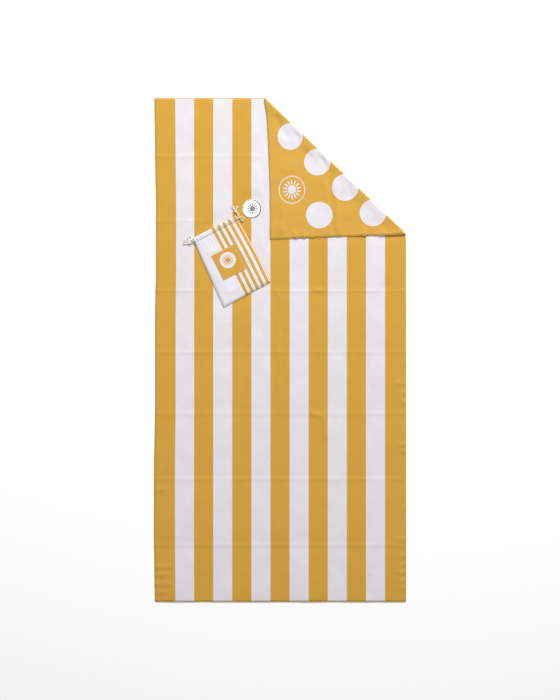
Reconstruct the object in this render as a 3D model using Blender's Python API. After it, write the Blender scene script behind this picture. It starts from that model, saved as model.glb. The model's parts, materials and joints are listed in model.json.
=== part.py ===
"""Striped beach towel with one corner turned over, and its drawstring pouch and card tag on it.

Metres, +Z up. The towel's length runs along Y and its width along X. Its underside lies on
Z = 0, and the origin is the centre of its outline there.
"""
import math

import bmesh
import bpy
from mathutils import Matrix, Vector

# Towel
TOWEL_WIDTH = 0.800
TOWEL_LENGTH = 1.600
CLOTH_THICKNESS = 0.0012
EDGE_WIDTH = 0.003            # overlocked thread edge, measured in from the outline
GAP = 0.0003                  # air between pieces that touch

# Turned corner: where its fold ends on the top edge and on the right edge, from the corner
FOLD_ACROSS = 0.450
FOLD_ALONG = 0.433
BEND_RADIUS = 0.0032          # outer radius of the soft, unpressed fold
BEND_STEPS = 10
BEND_FOOT = 0.002             # cloth of the bend that runs back in on the underside
EDGE_START = 0.001            # the corner's thread edges start this far from the fold

# Pouch, laid flat and empty beside the turned corner
POUCH_ALONG_FLAP = 0.5123      # its centre, down the turned corner's long edge from the fold
POUCH_FROM_FLAP = 0.1253
POUCH_LEAN = math.radians(115.3)   # its width, turned from that edge
POUCH_WIDTH = 0.162
POUCH_LENGTH = 0.238
POUCH_CLOTH = 0.0008
POUCH_INSIDE = 0.0034         # air between its two panels
SEAM_WIDTH = 0.002
BOTTOM_SEAM_WIDTH = 0.003

# Hems round the mouth, which the cords run through
HEM_WIDTH = 0.152             # the drawn mouth is narrower than the pouch
HEM_SHIFT = 0.002
HEM_DEPTH = 0.015
HEM_WALL = 0.0005
HEM_CORNER = 0.0015
MOUTH_GAP = 0.0005
STITCHED_STRIP = 0.0035       # flat strip below the cords, where the hem is sewn down

# Draw cords
CORD_DIAMETER = 0.0025
CORD_CLEARANCE = 0.0002
TRACK_SPACING = 0.005
CORD_POINTS = 78
TAIL_POINTS = 9
KNOT_SIZE = Vector((0.0042, 0.0046, 0.00305))
KNOT_RINGS = 10
KNOT_SIDES = 16

# Patch sewn on the pouch's front
PATCH_AT = Vector((-0.009, -0.0012))
PATCH_WIDTH = 0.080
PATCH_LENGTH = 0.087
PATCH_THICKNESS = 0.0005
PATCH_CORNER = 0.002

# Card tag
TAG_ALONG_FLAP = 0.3498
TAG_FROM_FLAP = 0.0528
TAG_DIAMETER = 0.0595
TAG_THICKNESS = 0.001
TAG_SIDES = 64
TAG_HOLE_DIAMETER = 0.0036
TAG_HOLE_FROM_EDGE = 0.0038
TAG_HOLE_TURN = math.radians(173.7)
TAG_HOLE_SIDES = 16

# Levels and places that follow from the sizes above
ON_TOWEL = CLOTH_THICKNESS + GAP
HEM_HEIGHT = CORD_DIAMETER + 2 * CORD_CLEARANCE + 2 * HEM_WALL
FRONT_PANEL_Z = POUCH_CLOTH + POUCH_INSIDE
POUCH_BODY_HEIGHT = FRONT_PANEL_Z + POUCH_CLOTH
FRONT_HEM_Z = HEM_HEIGHT + MOUTH_GAP
HEM_TOP = POUCH_LENGTH / 2
HEM_FOOT = HEM_TOP - HEM_DEPTH
HEM_LEFT = HEM_SHIFT - HEM_WIDTH / 2
HEM_RIGHT = HEM_SHIFT + HEM_WIDTH / 2
BORE_FOOT = HEM_FOOT + STITCHED_STRIP
BORE_TOP = HEM_TOP - HEM_WALL
TRACK_MIDDLE = (BORE_FOOT + BORE_TOP) / 2
UPPER_TRACK = TRACK_MIDDLE + TRACK_SPACING / 2
LOWER_TRACK = TRACK_MIDDLE - TRACK_SPACING / 2
FRONT_CORD_Z = FRONT_HEM_Z + HEM_HEIGHT / 2
BACK_CORD_Z = HEM_HEIGHT / 2

# The fold's own frame: T runs along the fold from the top edge to the right edge, N points
# out of the towel across it, and the height is measured from the hinge line.
FOLD_TOP_END = Vector((TOWEL_WIDTH / 2 - FOLD_ACROSS, TOWEL_LENGTH / 2))
FOLD_RIGHT_END = Vector((TOWEL_WIDTH / 2, TOWEL_LENGTH / 2 - FOLD_ALONG))
FOLD_MIDDLE = (FOLD_TOP_END + FOLD_RIGHT_END) / 2
FOLD_TURN = math.atan2(-FOLD_ALONG, FOLD_ACROSS)
FOLD_T = Vector((math.cos(FOLD_TURN), math.sin(FOLD_TURN)))
FOLD_N = Vector((-math.sin(FOLD_TURN), math.cos(FOLD_TURN)))
# The turned corner's edge beside the pouch: down it, and away from the corner
DOWN_FLAP = Vector((math.cos(2 * FOLD_TURN), math.sin(2 * FOLD_TURN)))
OFF_FLAP = Vector((math.sin(2 * FOLD_TURN), -math.cos(2 * FOLD_TURN)))
# The bend's foot swings past the flat cloth's cut edge as the corner opens.
FOOT_SWEEP = math.sqrt(BEND_FOOT ** 2 + BEND_RADIUS ** 2 - (BEND_RADIUS - CLOTH_THICKNESS) ** 2)
CUT_BACK = FOOT_SWEEP + GAP

# Colours, linear RGB
YELLOW = (0.60, 0.36, 0.075)
YELLOW_THREAD = (0.42, 0.26, 0.05)
WHITE = (0.80, 0.79, 0.84)
COTTON = (0.78, 0.76, 0.70)
CARD = (0.88, 0.88, 0.90)


def clear_scene():
    """Remove every object of the open file."""
    for item in list(bpy.data.objects):
        bpy.data.objects.remove(item, do_unlink=True)


def make_material(name, colour, roughness):
    """Return a plain matt material."""
    material = bpy.data.materials.new(name)
    material.use_nodes = True
    shader = material.node_tree.nodes["Principled BSDF"]
    shader.inputs["Base Color"].default_value = (*colour, 1.0)
    shader.inputs["Roughness"].default_value = roughness
    shader.inputs["Metallic"].default_value = 0.0
    return material


def make_object(name, data, colour, roughness=0.85, parent=None):
    """Put mesh or curve data in the scene as one named piece with its own material."""
    piece = bpy.data.objects.new(name, data)
    data.materials.append(make_material(name + "_material", colour, roughness))
    bpy.context.scene.collection.objects.link(piece)
    piece.parent = parent
    return piece


def make_empty(name, x, y, z, turn=0.0, parent=None):
    """Add an empty that carries the pieces of one moving body."""
    empty = bpy.data.objects.new(name, None)
    empty.location = (x, y, z)
    empty.rotation_euler = (0.0, 0.0, turn)
    empty.parent = parent
    bpy.context.scene.collection.objects.link(empty)
    return empty


def finish_mesh(name, shape):
    """Turn a bmesh into mesh data, with its faces pointing out."""
    bmesh.ops.recalc_face_normals(shape, faces=shape.faces)
    mesh = bpy.data.meshes.new(name)
    shape.to_mesh(mesh)
    shape.free()
    return mesh


def slab(name, outline, bottom, top):
    """Return a slab over a convex outline; bottom and top give its heights at a point."""
    shape = bmesh.new()
    low = [shape.verts.new((x, y, bottom(x, y))) for x, y in outline]
    high = [shape.verts.new((x, y, top(x, y))) for x, y in outline]
    shape.faces.new(low)
    shape.faces.new(high)
    for here in range(len(outline)):
        after = (here + 1) % len(outline)
        shape.faces.new((low[here], low[after], high[after], high[here]))
    return finish_mesh(name, shape)


def level(height):
    """Return a height rule that is the same everywhere."""
    return lambda x, y: height


def rectangle(left, right, front, back):
    """Return the corners of an upright rectangle."""
    return [(left, front), (right, front), (right, back), (left, back)]


def rounded_rectangle(left, right, front, back, radius, steps):
    """Return a rectangle's outline with round corners."""
    outline = []
    middles = rectangle(left + radius, right - radius, front + radius, back - radius)
    for corner, (x, y) in enumerate(middles):
        for step in range(steps + 1):
            turn = math.radians(180.0 + 90.0 * corner + 90.0 * step / steps)
            outline.append((x + radius * math.cos(turn), y + radius * math.sin(turn)))
    return outline


def clip(outline, side):
    """Keep the part of a convex outline where side(x, y) isn't negative."""
    kept = []
    for here, start in enumerate(outline):
        end = outline[(here + 1) % len(outline)]
        from_side = side(*start)
        to_side = side(*end)
        if from_side >= 0.0:
            kept.append(start)
        if from_side * to_side < 0.0:
            share = from_side / (from_side - to_side)
            kept.append(tuple(Vector(start).lerp(Vector(end), share)))
    return kept


def across_fold(x, y):
    """Return how far a point lies outside the fold."""
    return (Vector((x, y)) - FOLD_MIDDLE).dot(FOLD_N)


def turned_over(x, y):
    """Return where a point of the corner lies, in the fold's T and N, once it is turned over."""
    reach = Vector((x, y)) - FOLD_MIDDLE
    return reach.dot(FOLD_T), -reach.dot(FOLD_N)


def build_towel():
    """Build the flat part of the towel and the four thread edges on it."""
    half_width = TOWEL_WIDTH / 2
    half_length = TOWEL_LENGTH / 2
    inset = EDGE_WIDTH + GAP

    def inside_fold(x, y):
        return -CUT_BACK - across_fold(x, y)

    outlines = {
        "towel_main": rectangle(-half_width + inset, half_width - inset,
                                -half_length + inset, half_length - inset),
        "edge_left": rectangle(-half_width, -half_width + EDGE_WIDTH, -half_length, half_length),
        "edge_right": rectangle(half_width - EDGE_WIDTH, half_width, -half_length, half_length),
        "edge_top": rectangle(-half_width + inset, half_width,
                              half_length - EDGE_WIDTH, half_length),
        "edge_bottom": rectangle(-half_width + inset, half_width - inset,
                                 -half_length, -half_length + EDGE_WIDTH),
    }
    for name, outline in outlines.items():
        colour = YELLOW if name == "towel_main" else YELLOW_THREAD
        data = slab(name, clip(outline, inside_fold), level(0.0), level(CLOTH_THICKNESS))
        make_object(name, data, colour)


def corner_outline(left, right, front, back, start):
    """Return a rectangle's part beyond the fold, turned over into the fold's frame."""
    beyond = clip(rectangle(left, right, front, back), lambda x, y: across_fold(x, y) - start)
    return [turned_over(x, y) for x, y in beyond]


def bend_section(radius):
    """Return the bend's profile, N and height, from its foot underneath to its top."""
    profile = [(-BEND_FOOT, -radius)]
    for step in range(BEND_STEPS + 1):
        turn = math.pi * (step / BEND_STEPS - 0.5)
        profile.append((radius * math.cos(turn), radius * math.sin(turn)))
    return profile


def corner_cloth(tip, ends, tip_top):
    """Return the turned cloth: the bend, and the flap that slopes down from it to its tip."""
    shape = bmesh.new()
    outer = bend_section(BEND_RADIUS)
    inner = bend_section(BEND_RADIUS - CLOTH_THICKNESS)
    rings = []
    for (out_n, out_z), (in_n, in_z) in zip(outer, inner):
        rings.append([shape.verts.new((ends[0], out_n, out_z)),
                      shape.verts.new((ends[1], out_n, out_z)),
                      shape.verts.new((ends[1], in_n, in_z)),
                      shape.verts.new((ends[0], in_n, in_z))])
    for ring, after in zip(rings, rings[1:]):
        for side in range(4):
            other = (side + 1) % 4
            shape.faces.new((ring[side], ring[other], after[other], after[side]))
    shape.faces.new(rings[0])
    top_left, top_right, low_right, low_left = rings[-1]
    tip_high = shape.verts.new((*tip, tip_top))
    tip_low = shape.verts.new((*tip, tip_top - CLOTH_THICKNESS))
    shape.faces.new((top_left, top_right, tip_high))
    shape.faces.new((low_right, low_left, tip_low))
    shape.faces.new((top_right, low_right, tip_low, tip_high))
    shape.faces.new((low_left, top_left, tip_high, tip_low))
    return finish_mesh("towel_corner", shape)


def build_corner():
    """Build the turned corner and its two thread edges on the fold's hinge line."""
    hinge = make_empty("corner_hinge", *FOLD_MIDDLE, BEND_RADIUS, FOLD_TURN)
    half_width = TOWEL_WIDTH / 2
    half_length = TOWEL_LENGTH / 2
    inset = EDGE_WIDTH + GAP
    cloth = corner_outline(-half_width, half_width - inset, -half_length, half_length - inset, 0.0)
    tip = min(cloth, key=lambda point: point[1])
    ends = sorted(point[0] for point in cloth if point is not tip)
    tip_top = ON_TOWEL + CLOTH_THICKNESS - BEND_RADIUS
    fall = (BEND_RADIUS - tip_top) / -tip[1]
    make_object("towel_corner", corner_cloth(tip, ends, tip_top), YELLOW, parent=hinge)

    def top(_, across):
        return BEND_RADIUS + fall * across

    def bottom(_, across):
        return top(_, across) - CLOTH_THICKNESS

    strips = {
        "corner_edge_top": (-half_width, half_width, half_length - EDGE_WIDTH, half_length),
        "corner_edge_right": (half_width - EDGE_WIDTH, half_width,
                              -half_length, half_length - inset),
    }
    for name, strip in strips.items():
        outline = corner_outline(*strip, EDGE_START)
        make_object(name, slab(name, outline, bottom, top), YELLOW_THREAD, parent=hinge)


def build_pouch_body(pouch):
    """Build the pouch's two panels, its seams and the patch on its front."""
    half_width = POUCH_WIDTH / 2
    foot = -POUCH_LENGTH / 2
    panel_top = HEM_FOOT - GAP
    inset = SEAM_WIDTH + GAP
    panel = rectangle(-half_width + inset, half_width - inset,
                      foot + BOTTOM_SEAM_WIDTH + GAP, panel_top)
    back = slab("pouch_back", panel, level(0.0), level(POUCH_CLOTH))
    make_object("pouch_back", back, WHITE, parent=pouch)
    front = slab("pouch_front", panel, level(FRONT_PANEL_Z), level(POUCH_BODY_HEIGHT))
    make_object("pouch_front", front, WHITE, parent=pouch)
    seams = {
        "pouch_seam_left": rectangle(-half_width, -half_width + SEAM_WIDTH, foot, panel_top),
        "pouch_seam_right": rectangle(half_width - SEAM_WIDTH, half_width, foot, panel_top),
        "pouch_seam_bottom": rectangle(-half_width + inset, half_width - inset,
                                       foot, foot + BOTTOM_SEAM_WIDTH),
    }
    for name, outline in seams.items():
        data = slab(name, outline, level(0.0), level(POUCH_BODY_HEIGHT))
        make_object(name, data, WHITE, parent=pouch)
    patch_low = POUCH_BODY_HEIGHT + GAP
    outline = rounded_rectangle(PATCH_AT.x - PATCH_WIDTH / 2, PATCH_AT.x + PATCH_WIDTH / 2,
                                PATCH_AT.y - PATCH_LENGTH / 2, PATCH_AT.y + PATCH_LENGTH / 2,
                                PATCH_CORNER, 3)
    patch = slab("pouch_patch", outline, level(patch_low), level(patch_low + PATCH_THICKNESS))
    make_object("pouch_patch", patch, YELLOW, parent=pouch)


def build_hem(name, low, pouch):
    """Build one hem: a flattened cloth tunnel that is open at both ends."""
    outer = rounded_rectangle(HEM_FOOT, HEM_TOP, low, low + HEM_HEIGHT, HEM_CORNER, 3)
    inner = rounded_rectangle(BORE_FOOT, BORE_TOP, low + HEM_WALL, low + HEM_HEIGHT - HEM_WALL,
                              HEM_CORNER - HEM_WALL, 3)
    shape = bmesh.new()
    loops = []
    for outline in (outer, inner):
        for x in (HEM_LEFT, HEM_RIGHT):
            loops.append([shape.verts.new((x, y, z)) for y, z in outline])
    outer_left, outer_right, inner_left, inner_right = loops
    pairs = ((outer_left, outer_right), (inner_left, inner_right),
             (outer_left, inner_left), (outer_right, inner_right))
    for first, second in pairs:
        for here in range(len(first)):
            after = (here + 1) % len(first)
            shape.faces.new((first[here], first[after], second[after], second[here]))
    make_object(name, finish_mesh(name, shape), WHITE, parent=pouch)


def smooth_route(points, count):
    """Return evenly spaced points on a smooth curve through a route's own points."""
    route = [Vector(point) for point in points]
    route = [2 * route[0] - route[1], *route, 2 * route[-1] - route[-2]]
    fine = []
    for before, start, end, after in zip(route, route[1:], route[2:], route[3:]):
        for step in range(20):
            t = step / 20
            fine.append(0.5 * (2 * start + t * (end - before)
                               + t * t * (2 * before - 5 * start + 4 * end - after)
                               + t * t * t * (3 * start - before - 3 * end + after)))
    fine.append(route[-2])
    reach = [0.0]
    for here, after in zip(fine, fine[1:]):
        reach.append(reach[-1] + (after - here).length)
    even = []
    piece = 0
    for step in range(count):
        goal = reach[-1] * step / (count - 1)
        while piece < len(fine) - 2 and reach[piece + 1] < goal:
            piece += 1
        share = (goal - reach[piece]) / (reach[piece + 1] - reach[piece])
        even.append(fine[piece].lerp(fine[piece + 1], share))
    return even


def build_cord(name, points, count, parent):
    """Build a plain round cord along a route."""
    data = bpy.data.curves.new(name, "CURVE")
    data.dimensions = "3D"
    data.bevel_depth = CORD_DIAMETER / 2
    data.bevel_resolution = 2
    data.use_fill_caps = True
    spline = data.splines.new("POLY")
    even = smooth_route(points, count)
    spline.points.add(len(even) - 1)
    for point, place in zip(spline.points, even):
        point.co = (*place, 1.0)
    make_object(name, data, COTTON, parent=parent)


def build_knot(name, centre, parent):
    """Build the lump that a knot in the doubled cord fills."""
    shape = bmesh.new()
    bmesh.ops.create_uvsphere(shape, u_segments=KNOT_SIDES, v_segments=KNOT_RINGS, radius=1.0,
                              matrix=Matrix.Translation(centre) @ Matrix.Diagonal((*KNOT_SIZE, 1)))
    mesh = finish_mesh(name, shape)
    mesh.shade_smooth()
    make_object(name, mesh, COTTON, parent=parent)


def held_run(track, from_end, to_end):
    """Return a cord's way through both hems on one track: out in front, back behind."""
    third = (to_end - from_end) / 3
    along = [from_end, from_end + third, from_end + 2 * third, to_end]
    front = [(x, track, FRONT_CORD_Z) for x in along]
    behind = [(x, track, BACK_CORD_Z) for x in reversed(along)]
    return front, behind


# Free stretches of the cords outside the hems. A point is measured from the hem's end on that
# side and from the hem's top. Each list runs the way the cord does: from the knot to the front
# hem, round the far side, and back to the knot.
UPPER = UPPER_TRACK - HEM_TOP
LOWER = LOWER_TRACK - HEM_TOP
RIGHT_TO_HEM = [(0.0092, 0.0082, 0.0047), (0.0106, 0.0042, 0.0052), (0.0092, -0.0010, 0.0059),
                (0.0045, UPPER, FRONT_CORD_Z)]
RIGHT_FROM_HEM = [(0.0045, UPPER, BACK_CORD_Z), (0.0084, -0.0010, 0.0016),
                  (0.0092, 0.0038, 0.0015), (0.0080, 0.0078, 0.0018)]
RIGHT_LOOP = [(-0.0050, UPPER, FRONT_CORD_Z), (-0.0110, -0.0008, 0.0060),
              (-0.0142, 0.0048, 0.0052), (-0.0126, 0.0106, 0.0045), (-0.0070, 0.0128, 0.0038),
              (-0.0028, 0.0096, 0.0031), (-0.0044, 0.0048, 0.0025), (-0.0062, 0.0006, 0.0021),
              (-0.0050, -0.0030, BACK_CORD_Z)]
RIGHT_TAILS = {"upper": [(0.0076, 0.0184, 0.0014), (0.0064, 0.0240, 0.0013),
                         (0.0050, 0.0330, 0.0013)],
               "lower": [(0.0110, 0.0174, 0.0014), (0.0152, 0.0204, 0.0013),
                         (0.0220, 0.0234, 0.0013)]}
RIGHT_KNOT = (0.0084, 0.0130, 0.0032)
LEFT_TO_HEM = [(-0.0098, -0.0084, 0.0048), (-0.0075, -0.0086, 0.0056),
               (-0.0045, LOWER, FRONT_CORD_Z)]
LEFT_FROM_HEM = [(-0.0045, LOWER, BACK_CORD_Z), (-0.0075, -0.0086, 0.0018),
                 (-0.0098, -0.0084, 0.0018)]
LEFT_LOOP = [(0.0055, LOWER, FRONT_CORD_Z), (0.0130, -0.0098, 0.0060),
             (0.0186, -0.0134, 0.0052), (0.0200, -0.0196, 0.0045), (0.0160, -0.0240, 0.0038),
             (0.0114, -0.0218, 0.0031), (0.0106, -0.0166, 0.0025), (0.0088, -0.0122, 0.0021),
             (0.0048, -0.0096, BACK_CORD_Z)]
LEFT_TAILS = {"upper": [(-0.0180, -0.0048, 0.0014), (-0.0234, 0.0004, 0.0013),
                        (-0.0300, 0.0090, 0.0013)],
              "lower": [(-0.0196, -0.0080, 0.0014), (-0.0270, -0.0048, 0.0013),
                        (-0.0356, 0.0020, 0.0013)]}
LEFT_KNOT = (-0.0146, -0.0090, 0.0032)


def beside(hem_end, points):
    """Return points of a free stretch in the pouch's frame."""
    return [(hem_end + x, HEM_TOP + y, z) for x, y, z in points]


def build_cords(pouch):
    """Build the two draw cords, each with its knot and its two tails."""
    sides = {
        "right": (UPPER_TRACK, HEM_RIGHT, HEM_LEFT, RIGHT_TO_HEM, RIGHT_LOOP, RIGHT_FROM_HEM,
                  RIGHT_KNOT, RIGHT_TAILS),
        "left": (LOWER_TRACK, HEM_LEFT, HEM_RIGHT, LEFT_TO_HEM, LEFT_LOOP, LEFT_FROM_HEM,
                 LEFT_KNOT, LEFT_TAILS),
    }
    for side, (track, near, far, to_hem, loop, from_hem, knot, tails) in sides.items():
        body = make_empty("drawcord_" + side + "_pull", 0.0, 0.0, 0.0, parent=pouch)
        front, behind = held_run(track, near, far)
        route = [*beside(near, to_hem), *front, *beside(far, loop), *behind,
                 *beside(near, from_hem)]
        build_cord("drawcord_" + side, route, CORD_POINTS, body)
        build_knot("knot_" + side, Vector(beside(near, [knot])[0]), body)
        for place, points in tails.items():
            build_cord("tail_" + side + "_" + place, beside(near, points), TAIL_POINTS, body)


def build_tag():
    """Build the round card tag with the hole for its string."""
    middle = FOLD_TOP_END + TAG_ALONG_FLAP * DOWN_FLAP + TAG_FROM_FLAP * OFF_FLAP
    body = make_empty("tag_lift", *middle, ON_TOWEL)
    outline = [(math.cos(2 * math.pi * step / TAG_SIDES) * TAG_DIAMETER / 2,
                math.sin(2 * math.pi * step / TAG_SIDES) * TAG_DIAMETER / 2)
               for step in range(TAG_SIDES)]
    disc = make_object("tag_disc", slab("tag_disc", outline, level(0.0), level(TAG_THICKNESS)),
                       CARD, 0.5, body)
    reach = TAG_DIAMETER / 2 - TAG_HOLE_FROM_EDGE
    shape = bmesh.new()
    bmesh.ops.create_cone(shape, cap_ends=True, segments=TAG_HOLE_SIDES,
                          radius1=TAG_HOLE_DIAMETER / 2, radius2=TAG_HOLE_DIAMETER / 2,
                          depth=4 * TAG_THICKNESS)
    cutter = bpy.data.objects.new("tag_hole_cutter", finish_mesh("tag_hole_cutter", shape))
    cutter.location = (reach * math.cos(TAG_HOLE_TURN), reach * math.sin(TAG_HOLE_TURN),
                       TAG_THICKNESS / 2)
    cutter.parent = body
    cutter.hide_render = True
    cutter.display_type = "WIRE"
    bpy.context.scene.collection.objects.link(cutter)
    cut = disc.modifiers.new("string_hole", "BOOLEAN")
    cut.operation = "DIFFERENCE"
    cut.solver = "EXACT"
    cut.object = cutter


def main():
    """Build the whole set."""
    clear_scene()
    build_towel()
    build_corner()
    middle = FOLD_TOP_END + POUCH_ALONG_FLAP * DOWN_FLAP + POUCH_FROM_FLAP * OFF_FLAP
    pouch = make_empty("pouch_lift", *middle, ON_TOWEL, 2 * FOLD_TURN + POUCH_LEAN)
    build_pouch_body(pouch)
    build_hem("pouch_hem_back", 0.0, pouch)
    build_hem("pouch_hem_front", FRONT_HEM_Z, pouch)
    build_cords(pouch)
    build_tag()


main()
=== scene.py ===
"""A beach towel set, dressed on its CAD frame.

A striped microfibre towel lies flat with its top right corner turned over, so that the dotted
reverse shows. Its empty drawstring pouch and a round swing tag lie on it.

Lengths are in metres, with X across the towel, Y along it and Z up. The towel is printed, cut
and edged in its own flat layout, and the Fold class lays that layout down as the real one lies.
"""

import json
import logging
import math
from dataclasses import dataclass, field
from enum import Enum
from typing import Callable, Iterable, Optional, Sequence

import bmesh
import bpy
import numpy as np
from mathutils import Matrix, Vector


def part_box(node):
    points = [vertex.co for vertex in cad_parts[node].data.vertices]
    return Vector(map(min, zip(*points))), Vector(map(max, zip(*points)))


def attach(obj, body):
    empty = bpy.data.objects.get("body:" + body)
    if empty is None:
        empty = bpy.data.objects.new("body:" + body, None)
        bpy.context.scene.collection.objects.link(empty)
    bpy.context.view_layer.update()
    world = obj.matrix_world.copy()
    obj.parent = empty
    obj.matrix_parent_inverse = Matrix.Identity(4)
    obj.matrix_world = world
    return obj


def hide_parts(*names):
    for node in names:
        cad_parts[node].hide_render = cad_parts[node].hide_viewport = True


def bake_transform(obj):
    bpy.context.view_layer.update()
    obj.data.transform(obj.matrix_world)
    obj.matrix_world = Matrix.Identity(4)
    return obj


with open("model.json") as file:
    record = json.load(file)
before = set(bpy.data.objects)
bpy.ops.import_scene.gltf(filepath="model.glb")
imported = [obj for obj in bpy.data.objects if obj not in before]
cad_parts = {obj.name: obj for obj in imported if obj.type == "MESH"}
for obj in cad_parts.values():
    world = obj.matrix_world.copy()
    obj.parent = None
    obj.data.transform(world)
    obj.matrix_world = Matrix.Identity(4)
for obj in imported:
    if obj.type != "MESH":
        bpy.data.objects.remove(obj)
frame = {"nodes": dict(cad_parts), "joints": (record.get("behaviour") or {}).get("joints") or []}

LOG = logging.getLogger("towel_set")

Array = np.ndarray
Piece = bpy.types.Object
Socket = bpy.types.NodeSocket
Colour = tuple[float, float, float]
Point = tuple[float, float, float]
Loops = Iterable[Sequence[int]]
Shape = tuple[Array, list]

# Half the open towel's width and length, edge thread and all.
HALF_TOWEL = (0.400, 0.800)


# Finishes ------------------------------------------------------------------------------------

class Side(Enum):
    """The two printed sides of the towel's cloth."""

    STRIPES = "stripes"
    DOTS = "dots"


class Ply(Enum):
    """How the strands of a cord turn."""

    RIGHT_HAND = 1
    LEFT_HAND = -1


@dataclass(frozen=True)
class PrintColours:
    """Ink and ground of a printed cloth."""

    yellow: Colour = (0.575, 0.312, 0.040)
    white: Colour = (0.690, 0.660, 0.705)
    deep_yellow: Colour = (0.525, 0.275, 0.030)


@dataclass(frozen=True)
class ClothFinish:
    """Surface of a brushed microfibre cloth.

    pitch is the width of one rib of the weave, and weave and nap are the depths of the weave
    and of the brushed fibres on it. patch and grain are the sizes of the broad and the fine
    unevenness of its colour, and wear_and_hole_shade is how much rougher its patches of wear
    are; the swing tag's material uses the same name for the painted shade round its hole.
    """

    name: str
    pitch: float = 0.0011
    weave: float = 0.00010
    nap: float = 0.00016
    roughness: float = 0.88
    sheen: float = 0.22
    mottle: float = 0.030
    patch: float = 0.090
    grain: float = 0.004
    wear_and_hole_shade: float = 0.06
    rib_shade: float = 0.05
    show_through: float = 0.045


@dataclass(frozen=True)
class ThreadFinish:
    """Surface of spun thread or cord."""

    name: str
    colour: Colour
    shade: Colour
    roughness: float = 0.80
    sheen: float = 0.25
    fibre: float = 0.00035
    depth: float = 0.00006
    mottle: float = 0.06
    patch: float = 0.012


@dataclass(frozen=True)
class CardFinish:
    """Surface of the swing tag's printed card."""

    name: str = "tag_card"
    card: Colour = (0.870, 0.868, 0.880)
    ink: Colour = (0.062, 0.060, 0.066)
    grey: Colour = (0.190, 0.190, 0.200)
    roughness: float = 0.42
    coat: float = 0.12


# Node building -------------------------------------------------------------------------------

class Tree:
    """A short way to write a node tree."""

    def __init__(self, tree: bpy.types.NodeTree) -> None:
        """Keep the tree that the nodes go into."""
        self.tree = tree

    def node(self, kind: str, inputs: Optional[dict] = None, **settings) -> bpy.types.Node:
        """Add a node.

        Args:
            kind: The node's type, without the ShaderNode prefix.
            inputs: Values or sockets for its inputs, by name or by number.
            settings: Values of the node's own properties.

        Returns:
            The new node.
        """
        made = self.tree.nodes.new("ShaderNode" + kind)
        for name, value in settings.items():
            setattr(made, name, value)
        for key, value in (inputs or {}).items():
            self.feed(made.inputs[key], value)
        return made

    def feed(self, socket: Socket, value: object) -> None:
        """Link a socket to an input, or set the input's value.

        Args:
            socket: The input.
            value: An output socket to link, or a number, vector or colour.
        """
        if isinstance(value, Socket):
            self.tree.links.new(value, socket)
        elif socket.type == "RGBA" and len(value) == 3:
            socket.default_value = (*value, 1.0)
        else:
            socket.default_value = value

    def math(self, operation: str, *values: object, clamp: bool = False) -> Socket:
        """Add a Math node and return its output.

        Args:
            operation: The node's operation.
            values: Its one to three inputs.
            clamp: Whether the result stays between 0 and 1.

        Returns:
            The result's socket.
        """
        made = self.node("Math", dict(enumerate(values)), operation=operation, use_clamp=clamp)
        return made.outputs[0]

    def vector(self, operation: str, *values: object, out: str = "Vector") -> Socket:
        """Add a Vector Math node and return its output.

        Args:
            operation: The node's operation.
            values: Its inputs.
            out: The output wanted, Vector or Value.

        Returns:
            The result's socket.
        """
        made = self.node("VectorMath", dict(enumerate(values)), operation=operation)
        return made.outputs[out]

    def mix(self, factor: object, first: object, second: object, blend: str = "MIX") -> Socket:
        """Mix two colours.

        Args:
            factor: The share of the second colour.
            first: The colour at factor 0.
            second: The colour at factor 1.
            blend: The node's blend type.

        Returns:
            The mixed colour's socket.
        """
        made = self.node("Mix", data_type="RGBA", blend_type=blend)
        self.feed(made.inputs["Factor"], factor)
        self.feed(made.inputs[6], first)
        self.feed(made.inputs[7], second)
        return made.outputs[2]

    def shaded(self, colour: object, shade: Socket) -> Socket:
        """Multiply a colour by a number."""
        grey = self.node("CombineColor", {0: shade, 1: shade, 2: shade}).outputs[0]
        return self.mix(1.0, colour, grey, "MULTIPLY")

    def cover(self, inside: Socket, soft: object) -> Socket:
        """Return the mask of a printed shape with a soft edge.

        Args:
            inside: How far each place is inside the shape's edge, in metres.
            soft: The width that the edge is eased over.

        Returns:
            The mask's socket.
        """
        return self.math("ADD", self.math("DIVIDE", inside, soft), 0.5, clamp=True)

    def ring(self, distance: Socket, radius: float, half: object, soft: float) -> Socket:
        """Return the mask of a printed ring.

        Args:
            distance: How far each place is from the ring's middle.
            radius: The ring's radius.
            half: Half the width of its line.
            soft: The width that its edges are eased over.

        Returns:
            The mask's socket.
        """
        off = self.math("ABSOLUTE", self.math("SUBTRACT", distance, radius))
        return self.cover(self.math("SUBTRACT", half, off), soft)

    def split(self, vector: Socket) -> tuple[Socket, ...]:
        """Return the x, y and z sockets of a vector."""
        return tuple(self.node("SeparateXYZ", {0: vector}).outputs)

    def ramp(self, value: Socket, low: float, high: float, to_low: float = 0.0,
             to_high: float = 1.0, smooth: bool = True) -> Socket:
        """Map a value from one range to another.

        Args:
            value: The value's socket.
            low: Where the range starts.
            high: Where it ends.
            to_low: The result at low.
            to_high: The result at high.
            smooth: Whether the result eases in and out.

        Returns:
            The result's socket.
        """
        made = self.node("MapRange", {0: value, 1: low, 2: high, 3: to_low, 4: to_high})
        made.interpolation_type = "SMOOTHSTEP" if smooth else "LINEAR"
        return made.outputs[0]

    def noise(self, vector: Socket, scale: object, detail: float = 3.0,
              roughness: float = 0.55) -> Socket:
        """Return the factor of a noise texture on a vector."""
        made = self.node("TexNoise", {"Vector": vector, "Scale": scale, "Detail": detail,
                                      "Roughness": roughness})
        return made.outputs[0]

    def group(self, group: bpy.types.NodeTree, **inputs: object) -> bpy.types.Node:
        """Place a node group.

        Args:
            group: The group.
            inputs: Its inputs by name, with underscores for spaces.

        Returns:
            The group's node.
        """
        made = self.node("Group")
        made.node_tree = group
        for name, value in inputs.items():
            self.feed(made.inputs[name.replace("_", " ")], value)
        return made


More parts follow.
